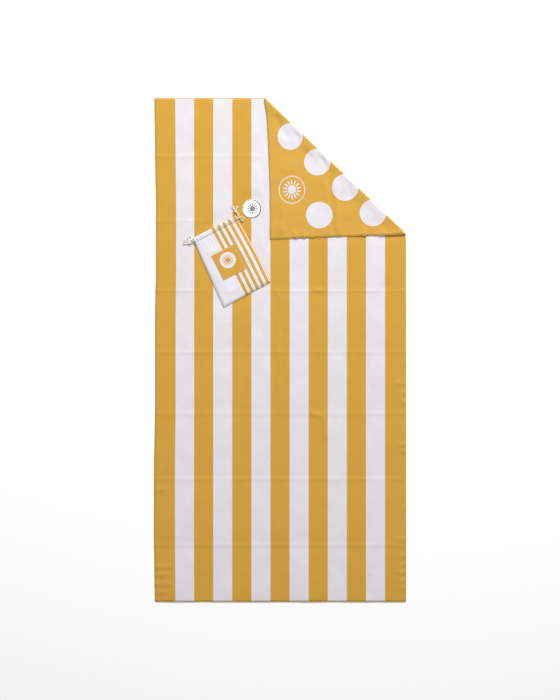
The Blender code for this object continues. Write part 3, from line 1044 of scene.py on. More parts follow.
@dataclass
class Towel:
    """The towel's printed cloth in one piece, from its open layout to its turned corner."""

    fold: Fold
    effects: Effects
    width: float = 0.7980
    length: float = 1.5980
    thickness: float = 0.0010
    cell: float = 0.0061
    bend_lines: int = 11
    stripe: float = 0.0606
    last_stripe_at: float = 0.370
    dot_radius: float = 0.0421
    dot_step: tuple[float, float] = (0.0842, 0.0852)
    first_dot: tuple[float, float] = (0.0755, 0.7250)
    print_low: tuple[float, float] = (-0.3876, -0.7660)
    print_high: tuple[float, float] = (0.3702, 0.7676)
    sun_at: tuple[float, float] = (0.2444, 0.7260)
    sun_radius: float = 0.0310
    ring_radius: float = 0.0430
    ring_half: float = 0.0013
    ring_clear: float = 0.0520
    ink_soft: float = 0.0009
    ring_soft: float = 0.0006
    sun_rays: float = 14.0
    line_spread: float = 0.003
    colours: PrintColours = PrintColours()
    reverse_yellow: Colour = (0.590, 0.330, 0.050)
    ink_change: float = 0.35
    finish: ClothFinish = ClothFinish("towel_cloth")

    def build(self) -> Piece:
        """Make the cloth, dress it and lay it down.

        Returns:
            The cloth's piece.
        """
        places, faces = self.flat_grid()
        count = len(places)
        rim = self.rim_of(faces)
        back = [tuple(count + i for i in reversed(loop)) for loop in faces]
        sides = [(b, a, count + a, count + b) for a, b in rim]
        both = np.vstack([places, places])
        heights = np.repeat([self.thickness / 2, -self.thickness / 2], count)
        flat = np.column_stack([both, np.zeros(2 * count)])
        slots = [0] * len(faces) + [1] * len(back) + [0] * len(sides)
        materials = [self.material(Side.STRIPES), self.material(Side.DOTS)]
        cloth = mesh_piece("towel_cloth", flat, [*faces, *back, *sides], materials, slots)
        store_layout(cloth, "flat", both)
        self.fold.blend(cloth)
        move_vertices(cloth, self.fold.lay_thick(both[:, 0], both[:, 1], heights))
        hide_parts("towel_main", "towel_corner")
        return cloth

    def grid_lines(self, reach: float, extra: Sequence[float] = ()) -> list[float]:
        """Return the grid's line places over one direction.

        Args:
            reach: Half the cloth's size in that direction.
            extra: Places that get a line of their own.

        Returns:
            The places in order, with no two nearly alike.
        """
        even = np.linspace(-reach, reach, int(2 * reach / self.cell) + 1)
        kept = [p for p in even if all(abs(p - e) > 0.3 * self.cell for e in extra)]
        return sorted([*kept, *extra])

    def flat_grid(self) -> Shape:
        """Cut the flat cloth into small faces, with lines round the bend.

        Returns:
            The places of its vertices on the flat cloth, and its faces.
        """
        columns = self.grid_lines(self.width / 2)
        spread = self.line_spread
        rows = self.grid_lines(self.length / 2, [row + step for row in PACKED_ROWS
                                                 for step in (-spread, 0.0, spread)])
        net = bmesh.new()
        grid = [[net.verts.new((u, v, 0.0)) for u in columns] for v in rows]
        for low, high in zip(grid, grid[1:]):
            for i in range(len(columns) - 1):
                net.faces.new((low[i], low[i + 1], high[i + 1], high[i]))
        half = self.fold.half_bend
        for offset in np.linspace(-half, half, self.bend_lines):
            on_line = self.fold.hinge + float(offset) * self.fold.across
            everything = [*net.verts, *net.edges, *net.faces]
            bmesh.ops.bisect_plane(net, geom=everything, dist=1e-6, plane_no=self.fold.across,
                                   plane_co=(on_line.x, on_line.y, 0.0))
        net.verts.index_update()
        places = np.array([(v.co.x, v.co.y) for v in net.verts])
        faces = [tuple(v.index for v in f.verts) for f in net.faces]
        net.free()
        return places, faces

    @staticmethod
    def rim_of(faces: Loops) -> list[tuple[int, int]]:
        """Return the edges that only one face has, in that face's direction."""
        sides = {(a, b) for loop in faces for a, b in zip(loop, (*loop[1:], loop[0]))}
        return [(a, b) for a, b in sides if (b, a) not in sides]

    def stripes(self, tree: Tree, place: Socket) -> Socket:
        """Return the mask of the yellow stripes."""
        across = tree.node("Clamp", {0: tree.split(place)[0], 1: -self.last_stripe_at,
                                     2: self.last_stripe_at}).outputs[0]
        wave = tree.math("COSINE", tree.math("MULTIPLY", across, math.pi / self.stripe))
        return tree.cover(tree.math("MULTIPLY", wave, self.stripe / math.pi), self.ink_soft)

    def dots(self, tree: Tree, place: Socket) -> Socket:
        """Return the mask of the white dots, and of the ringed sun in place of one of them."""
        from_first = tree.vector("SUBTRACT", place, (*self.first_dot, 0.0))
        dots = tree.group(self.effects.dots, Vector=from_first, Radius=self.dot_radius,
                          Column_Step=self.dot_step[0], Row_Step=self.dot_step[1]).outputs[0]
        above = tree.split(tree.vector("SUBTRACT", place, (*self.print_low, 0.0)))[:2]
        below = tree.split(tree.vector("SUBTRACT", (*self.print_high, 0.0), place))[:2]
        least = tree.math("MINIMUM", tree.math("MINIMUM", *above), tree.math("MINIMUM", *below))
        dots = tree.math("MULTIPLY", dots, tree.math("GREATER_THAN", least, 0.0))
        from_sun = tree.vector("SUBTRACT", place, (*self.sun_at, 0.0))
        sun = tree.group(self.effects.sun, Vector=from_sun, Radius=self.sun_radius,
                         Rays=self.sun_rays).outputs[0]
        distance = tree.vector("LENGTH", from_sun, out="Value")
        ring = tree.ring(distance, self.ring_radius, self.ring_half, self.ring_soft)
        away = tree.ramp(distance, self.ring_clear, self.ring_clear + 0.001)
        return tree.math("MAXIMUM", tree.math("MULTIPLY", dots, away),
                         tree.math("MAXIMUM", sun, ring))

    def material(self, side: Side) -> Material:
        """Dress one side of the cloth.

        Args:
            side: The side's print.

        Returns:
            Its material.
        """
        finish, colours = self.finish, self.colours
        made = Material("towel_" + side.value, finish.roughness, finish.sheen)
        tree = made.tree
        place = made.place("flat")
        stripes, dots = self.stripes(tree, place), self.dots(tree, place)
        mottle = cloth_mottle(tree, place, finish, self.effects)
        patches = tree.math("MULTIPLY", mottle.outputs["Patches"], self.ink_change)
        yellow = tree.mix(patches, colours.yellow, colours.deep_yellow)
        if side is Side.STRIPES:
            behind = tree.math("MULTIPLY_ADD", dots, -finish.show_through, finish.show_through)
            white = tree.mix(behind, colours.white, colours.yellow)
            printed = tree.mix(stripes, white, yellow)
        else:
            behind = tree.math("MULTIPLY", stripes, finish.show_through)
            white = tree.mix(behind, colours.white, colours.yellow)
            yellow = tree.mix(patches, self.reverse_yellow, colours.yellow)
            printed = tree.mix(dots, yellow, white)
        return dress_cloth(made, place, printed, mottle, finish, self.effects)


@dataclass
class EdgeThread:
    """The thread that wraps one edge of the towel in a row of close stitches."""

    fold: Fold
    effects: Effects
    half_width: float = 0.0016
    half_height: float = 0.00070
    reach_below: float = 0.00056
    stitch: float = 0.0028
    steps_in_stitch: int = 4
    sides: int = 8
    swell: float = 0.20
    end_taper: float = 0.002
    end_share: float = 0.55
    finish: ThreadFinish = ThreadFinish("edge_thread", (0.470, 0.275, 0.050),
                                        (0.230, 0.125, 0.022))

    def build(self, name: str, start: tuple[int, int], end: tuple[int, int],
              crosses_fold: bool, nodes: Sequence[str]) -> Piece:
        """Sew one edge.

        Args:
            name: The piece's name.
            start: The corner it starts at, by the signs of its two places.
            end: The corner it ends at.
            crosses_fold: Whether it goes on round the turned corner.
            nodes: The CAD nodes that it stands for.

        Returns:
            The thread's piece.
        """
        inset = self.half_width
        corners = [np.array([sign * (reach - inset) for sign, reach in zip(corner, HALF_TOWEL)])
                   for corner in (start, end)]
        run = corners[1] - corners[0]
        length = float(np.linalg.norm(run))
        run /= length
        outward = np.array([run[1], -run[0]])
        count = int(length / self.stitch * self.steps_in_stitch) + 1
        s = np.linspace(0.0, length, count)[:, None]
        turn = (np.arange(self.sides) * 2 * math.pi / self.sides)[None, :]
        lean = 2 * math.pi * s / self.stitch + 2.0 * turn
        size = 1.0 + self.swell * np.cos(lean)
        to_end = np.minimum(s, length - s)
        size *= np.clip(to_end / self.end_taper + self.end_share, 0.0, 1.0)
        off = self.half_width * size * np.cos(turn)
        places = corners[0] + s[:, :, None] * run + off[:, :, None] * outward
        places = places.reshape(-1, 2)
        height = (self.half_height * size * np.sin(turn)).ravel()
        height = np.maximum(height, -self.reach_below)
        faces = [tuple(reversed(loop)) for loop in tube_faces(count, self.sides)]
        flat = np.column_stack([places, np.zeros(len(places))])
        thread = mesh_piece(name, flat, faces, [self.material()])
        store_layout(thread, "flat", np.column_stack([places, height]))
        if crosses_fold:
            self.fold.blend(thread)
        move_vertices(thread, self.fold.lay_thick(places[:, 0], places[:, 1], height))
        if not crosses_fold:
            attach(thread, "towel")
        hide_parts(*nodes)
        return thread

    def material(self) -> Material:
        """Dress the thread."""
        return thread_material(self.finish, self.effects, "flat")


TOWEL_EDGES = (
    ("edge_left_thread", (-1, 1), (-1, -1), False, ("edge_left",)),
    ("edge_bottom_thread", (-1, -1), (1, -1), False, ("edge_bottom",)),
    ("edge_right_thread", (1, -1), (1, 1), True, ("edge_right", "corner_edge_right")),
    ("edge_top_thread", (1, 1), (-1, 1), True, ("edge_top", "corner_edge_top")),
)


@dataclass(frozen=True)
class PouchPlace:
    """Where the pouch lies: its middle, on the towel, and the way it is turned."""

    at: Vector
    turn: float

    @classmethod
    def from_joint(cls, name: str) -> "PouchPlace":
        """Read the turn from the joint that pulls a cord along the pouch's width.

        Args:
            name: The joint.

        Returns:
            The place, with its middle taken from the patch that is sewn near it.
        """
        axis = rightward(joint_named(name)["axis"])
        turn = math.atan2(axis.y, axis.x)
        low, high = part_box("pouch_patch")
        patch = (low + high) / 2
        from_middle = Matrix.Rotation(turn, 3, "Z") @ Vector((*PATCH_FROM_MIDDLE, 0.0))
        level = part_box("pouch_back")[0].z
        return cls(Vector((patch.x - from_middle.x, patch.y - from_middle.y, level)), turn)

    def world(self, points: Array) -> Array:
        """Take points of the pouch's own layout to where they lie."""
        c, s = math.cos(self.turn), math.sin(self.turn)
        spun = np.asarray(points, float) @ np.array([[c, s, 0.0], [-s, c, 0.0], [0.0, 0.0, 1.0]])
        return spun + np.array(self.at)


PATCH_FROM_MIDDLE = (-0.0090, -0.0012)
HEM_TOP = 0.1190
HEM_ENDS = {"left": -0.0740, "right": 0.0780}
CORD_LEVELS = {"front": 0.00635, "back": 0.00195}


@dataclass
class RestingPlaces:
    """The places where something lies on the towel and presses it flat."""

    fold: Fold
    pouch: PouchPlace
    pouch_reach: tuple[float, float] = (0.088, 0.122)
    pouch_aside: float = 0.004
    tag_reach: float = 0.034
    fold_reach: float = 0.020
    ease: float = 0.035

    def __call__(self, x: Array, y: Array) -> Array:
        """Return how much each place is pressed, from 0 to 1."""
        ease = self.ease
        c, s = math.cos(self.pouch.turn), math.sin(self.pouch.turn)
        p = (x - self.pouch.at.x) * c + (y - self.pouch.at.y) * s
        q = (y - self.pouch.at.y) * c - (x - self.pouch.at.x) * s
        outside = np.hypot(np.maximum(np.abs(p) - self.pouch_reach[0], 0.0),
                           np.maximum(np.abs(q - self.pouch_aside) - self.pouch_reach[1],
                                      0.0))
        pouch = 1.0 - smoothstep(0.003, ease, outside)
        low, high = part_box("tag_disc")
        middle = (low + high) / 2
        tag = 1.0 - smoothstep(0.001, ease, np.hypot(x - middle.x, y - middle.y) - self.tag_reach)
        t, n = self.fold.split(x, y)
        flat_x, flat_y = self.fold.place(t, -n)
        inside = np.minimum(HALF_TOWEL[0] - flat_x, HALF_TOWEL[1] - flat_y)
        inside = np.minimum(inside, self.fold_reach - n)
        corner = smoothstep(-ease, -0.002, inside)
        return np.maximum(np.maximum(pouch, tag), corner)


# Pouch ---------------------------------------------------------------------------------------

@dataclass
class Pouch:
    """The empty drawstring pouch, lying flat with its printed front up.

    Its own layout has its middle at the origin, its width along X and its mouth at the top.
    Heights are measured from the towel under it.
    """

    place: PouchPlace
    effects: Effects
    corners: dict[str, tuple[float, float]] = field(default_factory=lambda: {
        "bottom_left": (-0.0865, -0.1190), "bottom_right": (0.0795, -0.1165),
        "top_left": (-0.0738, 0.1060), "top_right": (0.0785, 0.1060)})
    mean_foot: float = -0.1178
    side_bow: tuple[float, float] = (0.0006, 0.0028)
    span: tuple[float, float] = (0.160, 0.225)
    cloth: float = 0.0007
    seam_level: float = 0.0015
    front_level: float = 0.0044
    back_level: float = 0.00045
    edge_round: float = 0.0050
    fullness: float = 0.0013
    fullness_change: Ripple = Ripple(0.0005, 0.070, 31)
    panel_gathers: Gathers = Gathers(0.00022, 0.0125, Ripple(1.5, 0.05, 32))
    columns: int = 120
    rows: int = 150
    puckers: float = 205.0
    bottom_puckers: float = 150.0
    seam_radius: float = 0.00125
    hem_foot: float = 0.1040
    hem_stations: int = 130
    hem_half: float = 0.00185
    hem_wall: float = 0.00045
    hem_gathers: Gathers = Gathers(0.00022, 0.0110, Ripple(2.2, 0.06, 33))
    hem_ripple: Ripple = Ripple(0.0003, 0.03, 34)
    patch_size: tuple[float, float] = (0.0800, 0.0870)
    patch_faces: tuple[float, float] = (0.00008, 0.00075)
    patch_sewn_at: float = 0.0022
    stitch: float = 0.0022
    stitch_gap: float = 0.0010
    stitch_radius: float = 0.00032
    stitch_step: float = 0.0002
    band_step: float = 0.0190
    band_half: float = 0.0048
    first_band: float = -0.0038
    ink_soft: float = 0.0006
    sun_disc: float = 0.0255
    sun_disc_at: tuple[float, float] = (0.0010, 0.0075)
    colours: PrintColours = PrintColours(white=(0.716, 0.686, 0.735))
    finish: ClothFinish = ClothFinish("pouch_cloth", pitch=0.0009, mottle=0.022, patch=0.040,
                                      grain=0.003, rib_shade=0.06)
    thread: ThreadFinish = ThreadFinish("pouch_thread", (0.800, 0.790, 0.790),
                                        (0.560, 0.545, 0.540))

    def build(self) -> list[Piece]:
        """Make and dress every part of the pouch.

        Returns:
            Its pieces.
        """
        printed = self.print_material()
        pieces = [self.panel("front", self.front_height, printed),
                  self.panel("back", self.back_height, printed),
                  *(self.hem(name, level, printed) for name, level in CORD_LEVELS.items()),
                  *(self.seam(side, printed) for side in ("left", "right", "bottom")),
                  self.patch(), self.stitches("hem_stitches", self.hem_rows()),
                  self.stitches("patch_stitches", self.patch_rows())]
        return pieces

    def across(self, a: Array, b: Array) -> tuple[Array, Array]:
        """Place shares of the panel's width and length between its corners.

        Args:
            a: Share of the width, from left to right.
            b: Share of the length, from the bottom to the hem.

        Returns:
            The places across and along.
        """
        low_left, low_right = self.corners["bottom_left"], self.corners["bottom_right"]
        top_left, top_right = self.corners["top_left"], self.corners["top_right"]
        spots = []
        for k in range(2):
            low = low_left[k] + (low_right[k] - low_left[k]) * a
            top = top_left[k] + (top_right[k] - top_left[k]) * a
            spots.append(low + (top - low) * b)
        return spots[0] + self.bow(a, b), spots[1]

    def bow(self, a: Array, b: Array) -> Array:
        """Return how far the sides' bow moves places off the cut cloth's straight lines."""
        left, right = self.side_bow
        return np.sin(math.pi * b) * (right * a - left * (1.0 - a))

    def inward(self, a: Array, b: Array) -> Array:
        """Return how far places are from the nearest seam."""
        return np.minimum(np.minimum(a, 1.0 - a) * self.span[0], b * self.span[1])

    def swell(self, a: Array, b: Array) -> Array:
        """Return the loose swell and wrinkles of the front panel."""
        x, y = self.across(a, b)
        inside = smoothstep(0.004, 0.035, self.inward(a, b))
        swell = inside * (self.fullness + self.fullness_change.lift(x, y))
        near_hem = smoothstep(0.72, 0.98, b)
        swell += near_hem * self.panel_gathers.height * self.panel_gathers.swing(x)
        for crease in POUCH_CREASES:
            swell += crease.lift(x, y)
        return swell

    def front_height(self, a: Array, b: Array) -> Array:
        """Return the height of the front panel's middle."""
        rise = 1.0 - np.exp(-self.inward(a, b) / (self.edge_round * 0.55))
        body = self.seam_level + 0.0006 + (self.front_level - self.seam_level) * rise
        from_side = np.minimum(a, 1 - a) * self.span[0]
        pucker = 0.00025 * np.sin(b * self.puckers) * np.exp(-from_side / 0.004)
        height = body + self.swell(a, b) * rise + pucker
        to_hem = smoothstep(0.93, 1.0, b)
        return height * (1.0 - to_hem) + (CORD_LEVELS["front"] - 0.0006) * to_hem

    def back_height(self, a: Array, b: Array) -> Array:
        """Return the height of the back panel's middle."""
        rise = np.exp(-self.inward(a, b) / 0.003)
        height = self.back_level + (self.seam_level - self.back_level) * 0.6 * rise
        to_hem = smoothstep(0.93, 1.0, b)
        return height * (1.0 - to_hem) + (CORD_LEVELS["back"] + 0.0002) * to_hem

    def panel(self, name: str, height: Callable, printed: Material) -> Piece:
        """Make one cloth panel with its two faces.

        Args:
            name: front or back.
            height: Gives the height of its middle from shares of its width and length.
            printed: Its material.

        Returns:
            The panel.
        """
        a, b = np.meshgrid(np.linspace(0, 1, self.columns), np.linspace(0, 1, self.rows))
        a, b = a.ravel(), b.ravel()
        x, y = self.across(a, b)
        z = height(a, b)
        half = self.cloth / 2
        top = np.column_stack([x, y, z + half])
        low = np.column_stack([x, y, z - half])
        points, faces = two_layers(top, low, self.columns, self.rows)
        panel = mesh_piece("pouch_" + name + "_cloth", self.place.world(points), faces, [printed])
        bow = np.tile(self.bow(a, b), 2)
        store_layout(panel, "flat", points[:, :2] - np.column_stack([bow, 0.0 * bow]))
        self.sewn(panel, "pouch_" + name)
        return panel

    def sewn(self, piece: Piece, *nodes: str, slot: str = "pouch_cloth") -> None:
        """Let a piece move with the pouch and stand for its CAD nodes."""
        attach(piece, "pouch")
        if nodes:
            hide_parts(*nodes)

    def hem(self, name: str, level: float, printed: Material) -> Piece:
        """Make one hem, a stitched strip with a tunnel for the cords.

        Args:
            name: front or back.
            level: The height of the tunnel's middle.
            printed: Its material.

        Returns:
            The hem.
        """
        x = np.linspace(HEM_ENDS["left"], HEM_ENDS["right"], self.hem_stations)[:, None]
        outline = np.array(HEM_OUTLINE)
        outline = np.vstack([outline, outline[::-1] * (1, -1)])
        hollow = outline.copy()
        hollow[:, 0] = np.clip(hollow[:, 0], -0.0040, 0.0075 - self.hem_wall)
        hollow[:, 1] *= (self.hem_half - self.hem_wall) / self.hem_half
        middle = (self.hem_foot + HEM_TOP) / 2
        gather, lift = self.gathered(x)
        rings = []
        for loop in (outline, hollow):
            y = middle + loop[None, :, 0] * (1.0 + 0.0 * x)
            bulge = 1.0 + 0.06 * gather * (loop[None, :, 1] > 0.5)
            z = level + loop[None, :, 1] * self.hem_half * bulge + lift * (name == "front")
            rings.append(np.stack([x + 0 * y, y + 0.0003 * gather, z], axis=2))
        points, faces = self.tunnel(*rings)
        hem = mesh_piece(f"pouch_hem_{name}_cloth", self.place.world(points), faces, [printed])
        store_layout(hem, "flat", points[:, :2])
        self.sewn(hem, "pouch_hem_" + name)
        return hem

    def gathered(self, x: Array) -> tuple[Array, Array]:
        """Return how the hems are gathered at places across them, and how far it lifts them."""
        gather = self.hem_gathers.swing(x)
        return gather, self.hem_gathers.height * gather + self.hem_ripple.lift(x, 0 * x)

    @staticmethod
    def tunnel(outer: Array, inner: Array) -> Shape:
        """Join an outer and an inner skin into an open tunnel with a thickness.

        Args:
            outer: Rings of points, one ring a station.
            inner: The same for the inside.

        Returns:
            The vertices and faces.
        """
        stations, count = outer.shape[:2]
        points = np.vstack([outer.reshape(-1, 3), inner.reshape(-1, 3)])
        second = stations * count
        faces = ring_faces(stations, count)
        faces += [tuple(second + i for i in reversed(loop)) for loop in faces]
        last = (stations - 1) * count
        for j in range(count):
            k = (j + 1) % count
            faces.append((k, j, second + j, second + k))
            faces.append((last + j, last + k, second + last + k, second + last + j))
        return points, faces

    def seam(self, side: str, printed: Material) -> Piece:
        """Make the turned seam down one side, puckered by its stitches.

        Args:
            side: left, right or bottom.
            printed: Its material.

        Returns:
            The seam.
        """
        share = np.linspace(0.0, 1.0, 260)
        ends = {"left": (0.0 * share, share * 0.985), "right": (0.0 * share + 1.0, share * 0.985),
                "bottom": (share, 0.0 * share)}
        x, y = self.across(*ends[side])
        level = self.seam_level + 0.0002
        line = np.column_stack([x, y, np.full(share.shape, level)])
        puckers = self.bottom_puckers if side == "bottom" else self.puckers
        points, faces = tube(line, self.seam_radius * (1.0 + 0.13 * np.sin(share * puckers)), 10)
        points[:, 2] = level + (points[:, 2] - level) * 0.95
        seam = mesh_piece(f"pouch_seam_{side}_roll", self.place.world(points), faces, [printed])
        layout = points[:, :2].copy()
        if side == "right":
            next_band = self.first_band + 5 * self.band_step - self.band_half
            layout[:, 0] += next_band - np.interp(layout[:, 1], y, x)
        store_layout(seam, "flat", layout)
        self.sewn(seam, "pouch_seam_" + side)
        return seam

    def shares(self, x: Array, y: Array) -> tuple[Array, Array]:
        """Return the shares of width and length at places on the front, nearly."""
        length = self.corners["top_left"][1] - self.mean_foot
        b = np.clip((y - self.mean_foot) / length, 0.0, 1.0)
        left, right = self.across(0.0 * b, b)[0], self.across(0.0 * b + 1.0, b)[0]
        return np.clip((x - left) / (right - left), 0.0, 1.0), b

    def on_front(self, x: Array, y: Array, above: float) -> Array:
        """Return points that lie on the front panel."""
        return np.column_stack([x, y, self.front_height(*self.shares(x, y)) + above])

    def patch(self) -> Piece:
        """Make the square patch that is sewn on the front.

        Returns:
            The patch.
        """
        columns, rows = 61, 66
        width, length = self.patch_size
        a, b = np.meshgrid(np.linspace(-0.5, 0.5, columns), np.linspace(-0.5, 0.5, rows))
        a, b = a.ravel(), b.ravel()
        edge = np.minimum((0.5 - np.abs(a)) * width, (0.5 - np.abs(b)) * length)
        loose = 0.00012 * waves(a * width, b * length, 0.03, 35) * smoothstep(0.002, 0.02, edge)
        sewn = -0.00022 * np.exp(-((edge - self.patch_sewn_at) / 0.0009) ** 2)
        x = PATCH_FROM_MIDDLE[0] + a * width
        y = PATCH_FROM_MIDDLE[1] + b * length
        low, top = (self.on_front(x, y, self.cloth / 2 + above) for above in self.patch_faces)
        top[:, 2] += loose + sewn
        points, faces = two_layers(top, low, columns, rows)
        patch = mesh_piece("pouch_patch_cloth", self.place.world(points), faces,
                           [self.patch_material()])
        local = points[:, :2] - np.array(PATCH_FROM_MIDDLE)
        store_layout(patch, "flat", local)
        self.sewn(patch, "pouch_patch", slot="patch_cloth")
        return patch

    def hem_rows(self) -> list[Array]:
        """Return the line of the hem's stitching, on its strip."""
        x = np.linspace(HEM_ENDS["left"] + 0.002, HEM_ENDS["right"] - 0.002, 300)
        y = np.full(x.shape, self.hem_foot + 0.0013)
        z = CORD_LEVELS["front"] + self.gathered(x)[1] + self.hem_half * 0.33 + 0.00010
        return [np.column_stack([x, y, z])]

    def patch_rows(self) -> list[Array]:
        """Return the four lines of the patch's stitching."""
        half = [size / 2 - self.patch_sewn_at for size in self.patch_size]
        corners = [(-1, -1), (1, -1), (1, 1), (-1, 1), (-1, -1)]
        rows = []
        for (ax, ay), (bx, by) in zip(corners, corners[1:]):
            s = np.linspace(0.0, 1.0, 150)
            x = PATCH_FROM_MIDDLE[0] + half[0] * (ax + (bx - ax) * s)
            y = PATCH_FROM_MIDDLE[1] + half[1] * (ay + (by - ay) * s)
            rows.append(self.on_front(x, y, self.cloth / 2 + 0.00068))
        return rows

    def stitches(self, name: str, rows: Sequence[Array]) -> Piece:
        """Sew rows of short stitches.

        Args:
            name: The piece's name.
            rows: The lines that they follow.

        Returns:
            The stitches, in one piece.
        """
        parts = []
        for line in rows:
            even = even_steps(line, self.stitch_step)
            stitch = int(self.stitch / self.stitch_step)
            pitch = stitch + int(self.stitch_gap / self.stitch_step)
            for start in range(2, len(even) - stitch, pitch):
                run = even[start:start + stitch + 1:2].copy()
                bow = np.sin(np.linspace(0.0, math.pi, len(run)))
                run[:, 2] += 0.00016 * bow - 0.00006
                parts.append(tube(run, self.stitch_radius * (0.55 + 0.45 * bow), 6))
        points, faces = join_parts(parts)
        sewing = mesh_piece(name, self.place.world(points), faces,
                            [thread_material(self.thread, self.effects, "fibre")])
        store_layout(sewing, "fibre", points)
        self.sewn(sewing)
        return sewing

    def fabric(self, made: Material, place: Socket, printed: Socket) -> Material:
        """Give a printed colour the cloth's weave and unevenness."""
        mottle = cloth_mottle(made.tree, place, self.finish, self.effects)
        return dress_cloth(made, place, printed, mottle, self.finish, self.effects)

    def print_material(self) -> Material:
        """Dress the pouch's cloth: plain on the left, with lengthwise bands on the right."""
        made = Material("pouch_print", self.finish.roughness, self.finish.sheen)
        tree = made.tree
        place = made.place("flat")
        across = tree.math("SUBTRACT", tree.split(place)[0], self.first_band)
        half_step = self.band_step / 2
        nearest = tree.math("ABSOLUTE", tree.math("WRAP", across, half_step, -half_step))
        inside = tree.math("SUBTRACT", self.band_half, nearest)
        banded = tree.math("GREATER_THAN", across, -half_step)
        mask = tree.math("MULTIPLY", tree.cover(inside, self.ink_soft), banded)
        printed = tree.mix(mask, self.colours.white, self.colours.yellow)
        return self.fabric(made, place, printed)

    def patch_material(self) -> Material:
        """Dress the patch: yellow, with a sun on a white disc."""
        made = Material("patch_print", self.finish.roughness, self.finish.sheen)
        tree = made.tree
        place = made.place("flat")
        from_disc = tree.vector("SUBTRACT", place, (*self.sun_disc_at, 0.0))
        inside = tree.math("SUBTRACT", self.sun_disc,
                           tree.vector("LENGTH", from_disc, out="Value"))
        disc = tree.cover(inside, 0.0005)
        sun = tree.group(self.effects.sun, Vector=from_disc, Radius=self.sun_disc * 0.72,
                         Rays=12.0).outputs[0]
        white = tree.math("MULTIPLY", disc, tree.math("SUBTRACT", 1.0, sun))
        printed = tree.mix(white, self.colours.yellow, self.colours.white)
        return self.fabric(made, place, printed)


# The upper half of a hem's outline: places from its middle, and shares of its half thickness.
HEM_OUTLINE = ((-0.0075, 0.30), (-0.0055, 0.32), (-0.0040, 0.62), (-0.0020, 0.95),
               (0.0010, 1.0), (0.0045, 0.97), (0.0066, 0.72), (0.0075, 0.28))
POUCH_CREASES = (
    Crease(((-0.070, 0.060), (-0.030, 0.052), (0.010, 0.062)), 0.0070, 0.0007),
    Crease(((-0.080, -0.070), (-0.040, -0.086), (0.030, -0.082)), 0.0090, 0.0008),
    Crease(((0.045, 0.095), (0.050, 0.040), (0.048, -0.040)), 0.0080, 0.0008),
    Crease(((-0.060, 0.020), (-0.066, -0.050)), 0.0080, 0.0006),
)


def two_layers(top: Array, low: Array, columns: int, rows: int) -> Shape:
    """Close two grids of points into a thin sheet.

    Args:
        top: The upper grid's points, row by row.
        low: The lower grid's points.
        columns: Points in a row.
        rows: Rows.

    Returns:
        The vertices and faces.
    """
    under = len(top)
    faces = []
    for i in range(rows - 1):
        for j in range(columns - 1):
            a, b = i * columns + j, i * columns + j + 1
            c, d = b + columns, a + columns
            faces.append((a, b, c, d))
            faces.append((under + d, under + c, under + b, under + a))
    rim = [*range(columns - 1), *(columns - 1 + i * columns for i in range(rows - 1)),
           *(rows * columns - 1 - j for j in range(columns - 1)),
           *((rows - 1 - i) * columns for i in range(rows - 1))]
    for a, b in zip(rim, [*rim[1:], rim[0]]):
        faces.append((b, a, under + a, under + b))
    return np.vstack([top, low]), faces


# Drawcords -----------------------------------------------------------------------------------

@dataclass(frozen=True)
class CordRoute:
    """The free stretches of a drawcord, from its hem's end and the hem's top.

    Each list runs as the cord does: from its knot to the front hem, round the far side, and
    back to the knot.
    """

    side: str
    far: str
    to_hem: Sequence[Point]
    loop: Sequence[Point]
    from_hem: Sequence[Point]
    knot: Point
    tails: dict[str, Sequence[Point]]

    def beside(self, end: str, points: Sequence[Point]) -> list[Point]:
        """Measure points of a free stretch from the pouch's middle."""
        return [(HEM_ENDS[end] + x, HEM_TOP + y, z) for x, y, z in points]

    def hidden(self, start: Point, end: Point, level: float) -> list[Point]:
        """Return the two points that the cord has inside a hem."""
        return [(start[0] + (end[0] - start[0]) * share, start[1] + (end[1] - start[1]) * share,
                 level) for share in (1 / 3, 2 / 3)]

    def points(self) -> list[Point]:
        """Return the whole route in the pouch's own layout."""
        to_hem = self.beside(self.side, self.to_hem)
        loop = self.beside(self.far, self.loop)
        from_hem = self.beside(self.side, self.from_hem)
        front = self.hidden(to_hem[-1], loop[0], CORD_LEVELS["front"])
        back = self.hidden(loop[-1], from_hem[0], CORD_LEVELS["back"])
        return [*to_hem, *front, *loop, *back, *from_hem]


UPPER, LOWER = -0.0035, -0.0085
FRONT, BACK = CORD_LEVELS["front"], CORD_LEVELS["back"]
RIGHT_ROUTE = CordRoute(
    "right", "left",
    to_hem=((0.0092, 0.0082, 0.0047), (0.0106, 0.0042, 0.0052), (0.0092, -0.0010, 0.0059),
            (0.0045, UPPER, FRONT)),
    loop=((-0.0050, UPPER, FRONT), (-0.0110, -0.0008, 0.0060), (-0.0142, 0.0048, 0.0052),
          (-0.0126, 0.0106, 0.0045), (-0.0070, 0.0128, 0.0038), (-0.0028, 0.0096, 0.0031),
          (-0.0044, 0.0048, 0.0025), (-0.0062, 0.0006, 0.0021), (-0.0050, -0.0030, BACK)),
    from_hem=((0.0045, UPPER, BACK), (0.0084, -0.0010, 0.0016), (0.0092, 0.0038, 0.0015),
              (0.0080, 0.0078, 0.0018)),
    knot=(0.0084, 0.0130, 0.0032),
    tails={"upper": ((0.0076, 0.0184, 0.0014), (0.0064, 0.0240, 0.0013),
                     (0.0050, 0.0330, 0.0013)),
           "lower": ((0.0110, 0.0174, 0.0014), (0.0152, 0.0204, 0.0013),
                     (0.0220, 0.0234, 0.0013))})
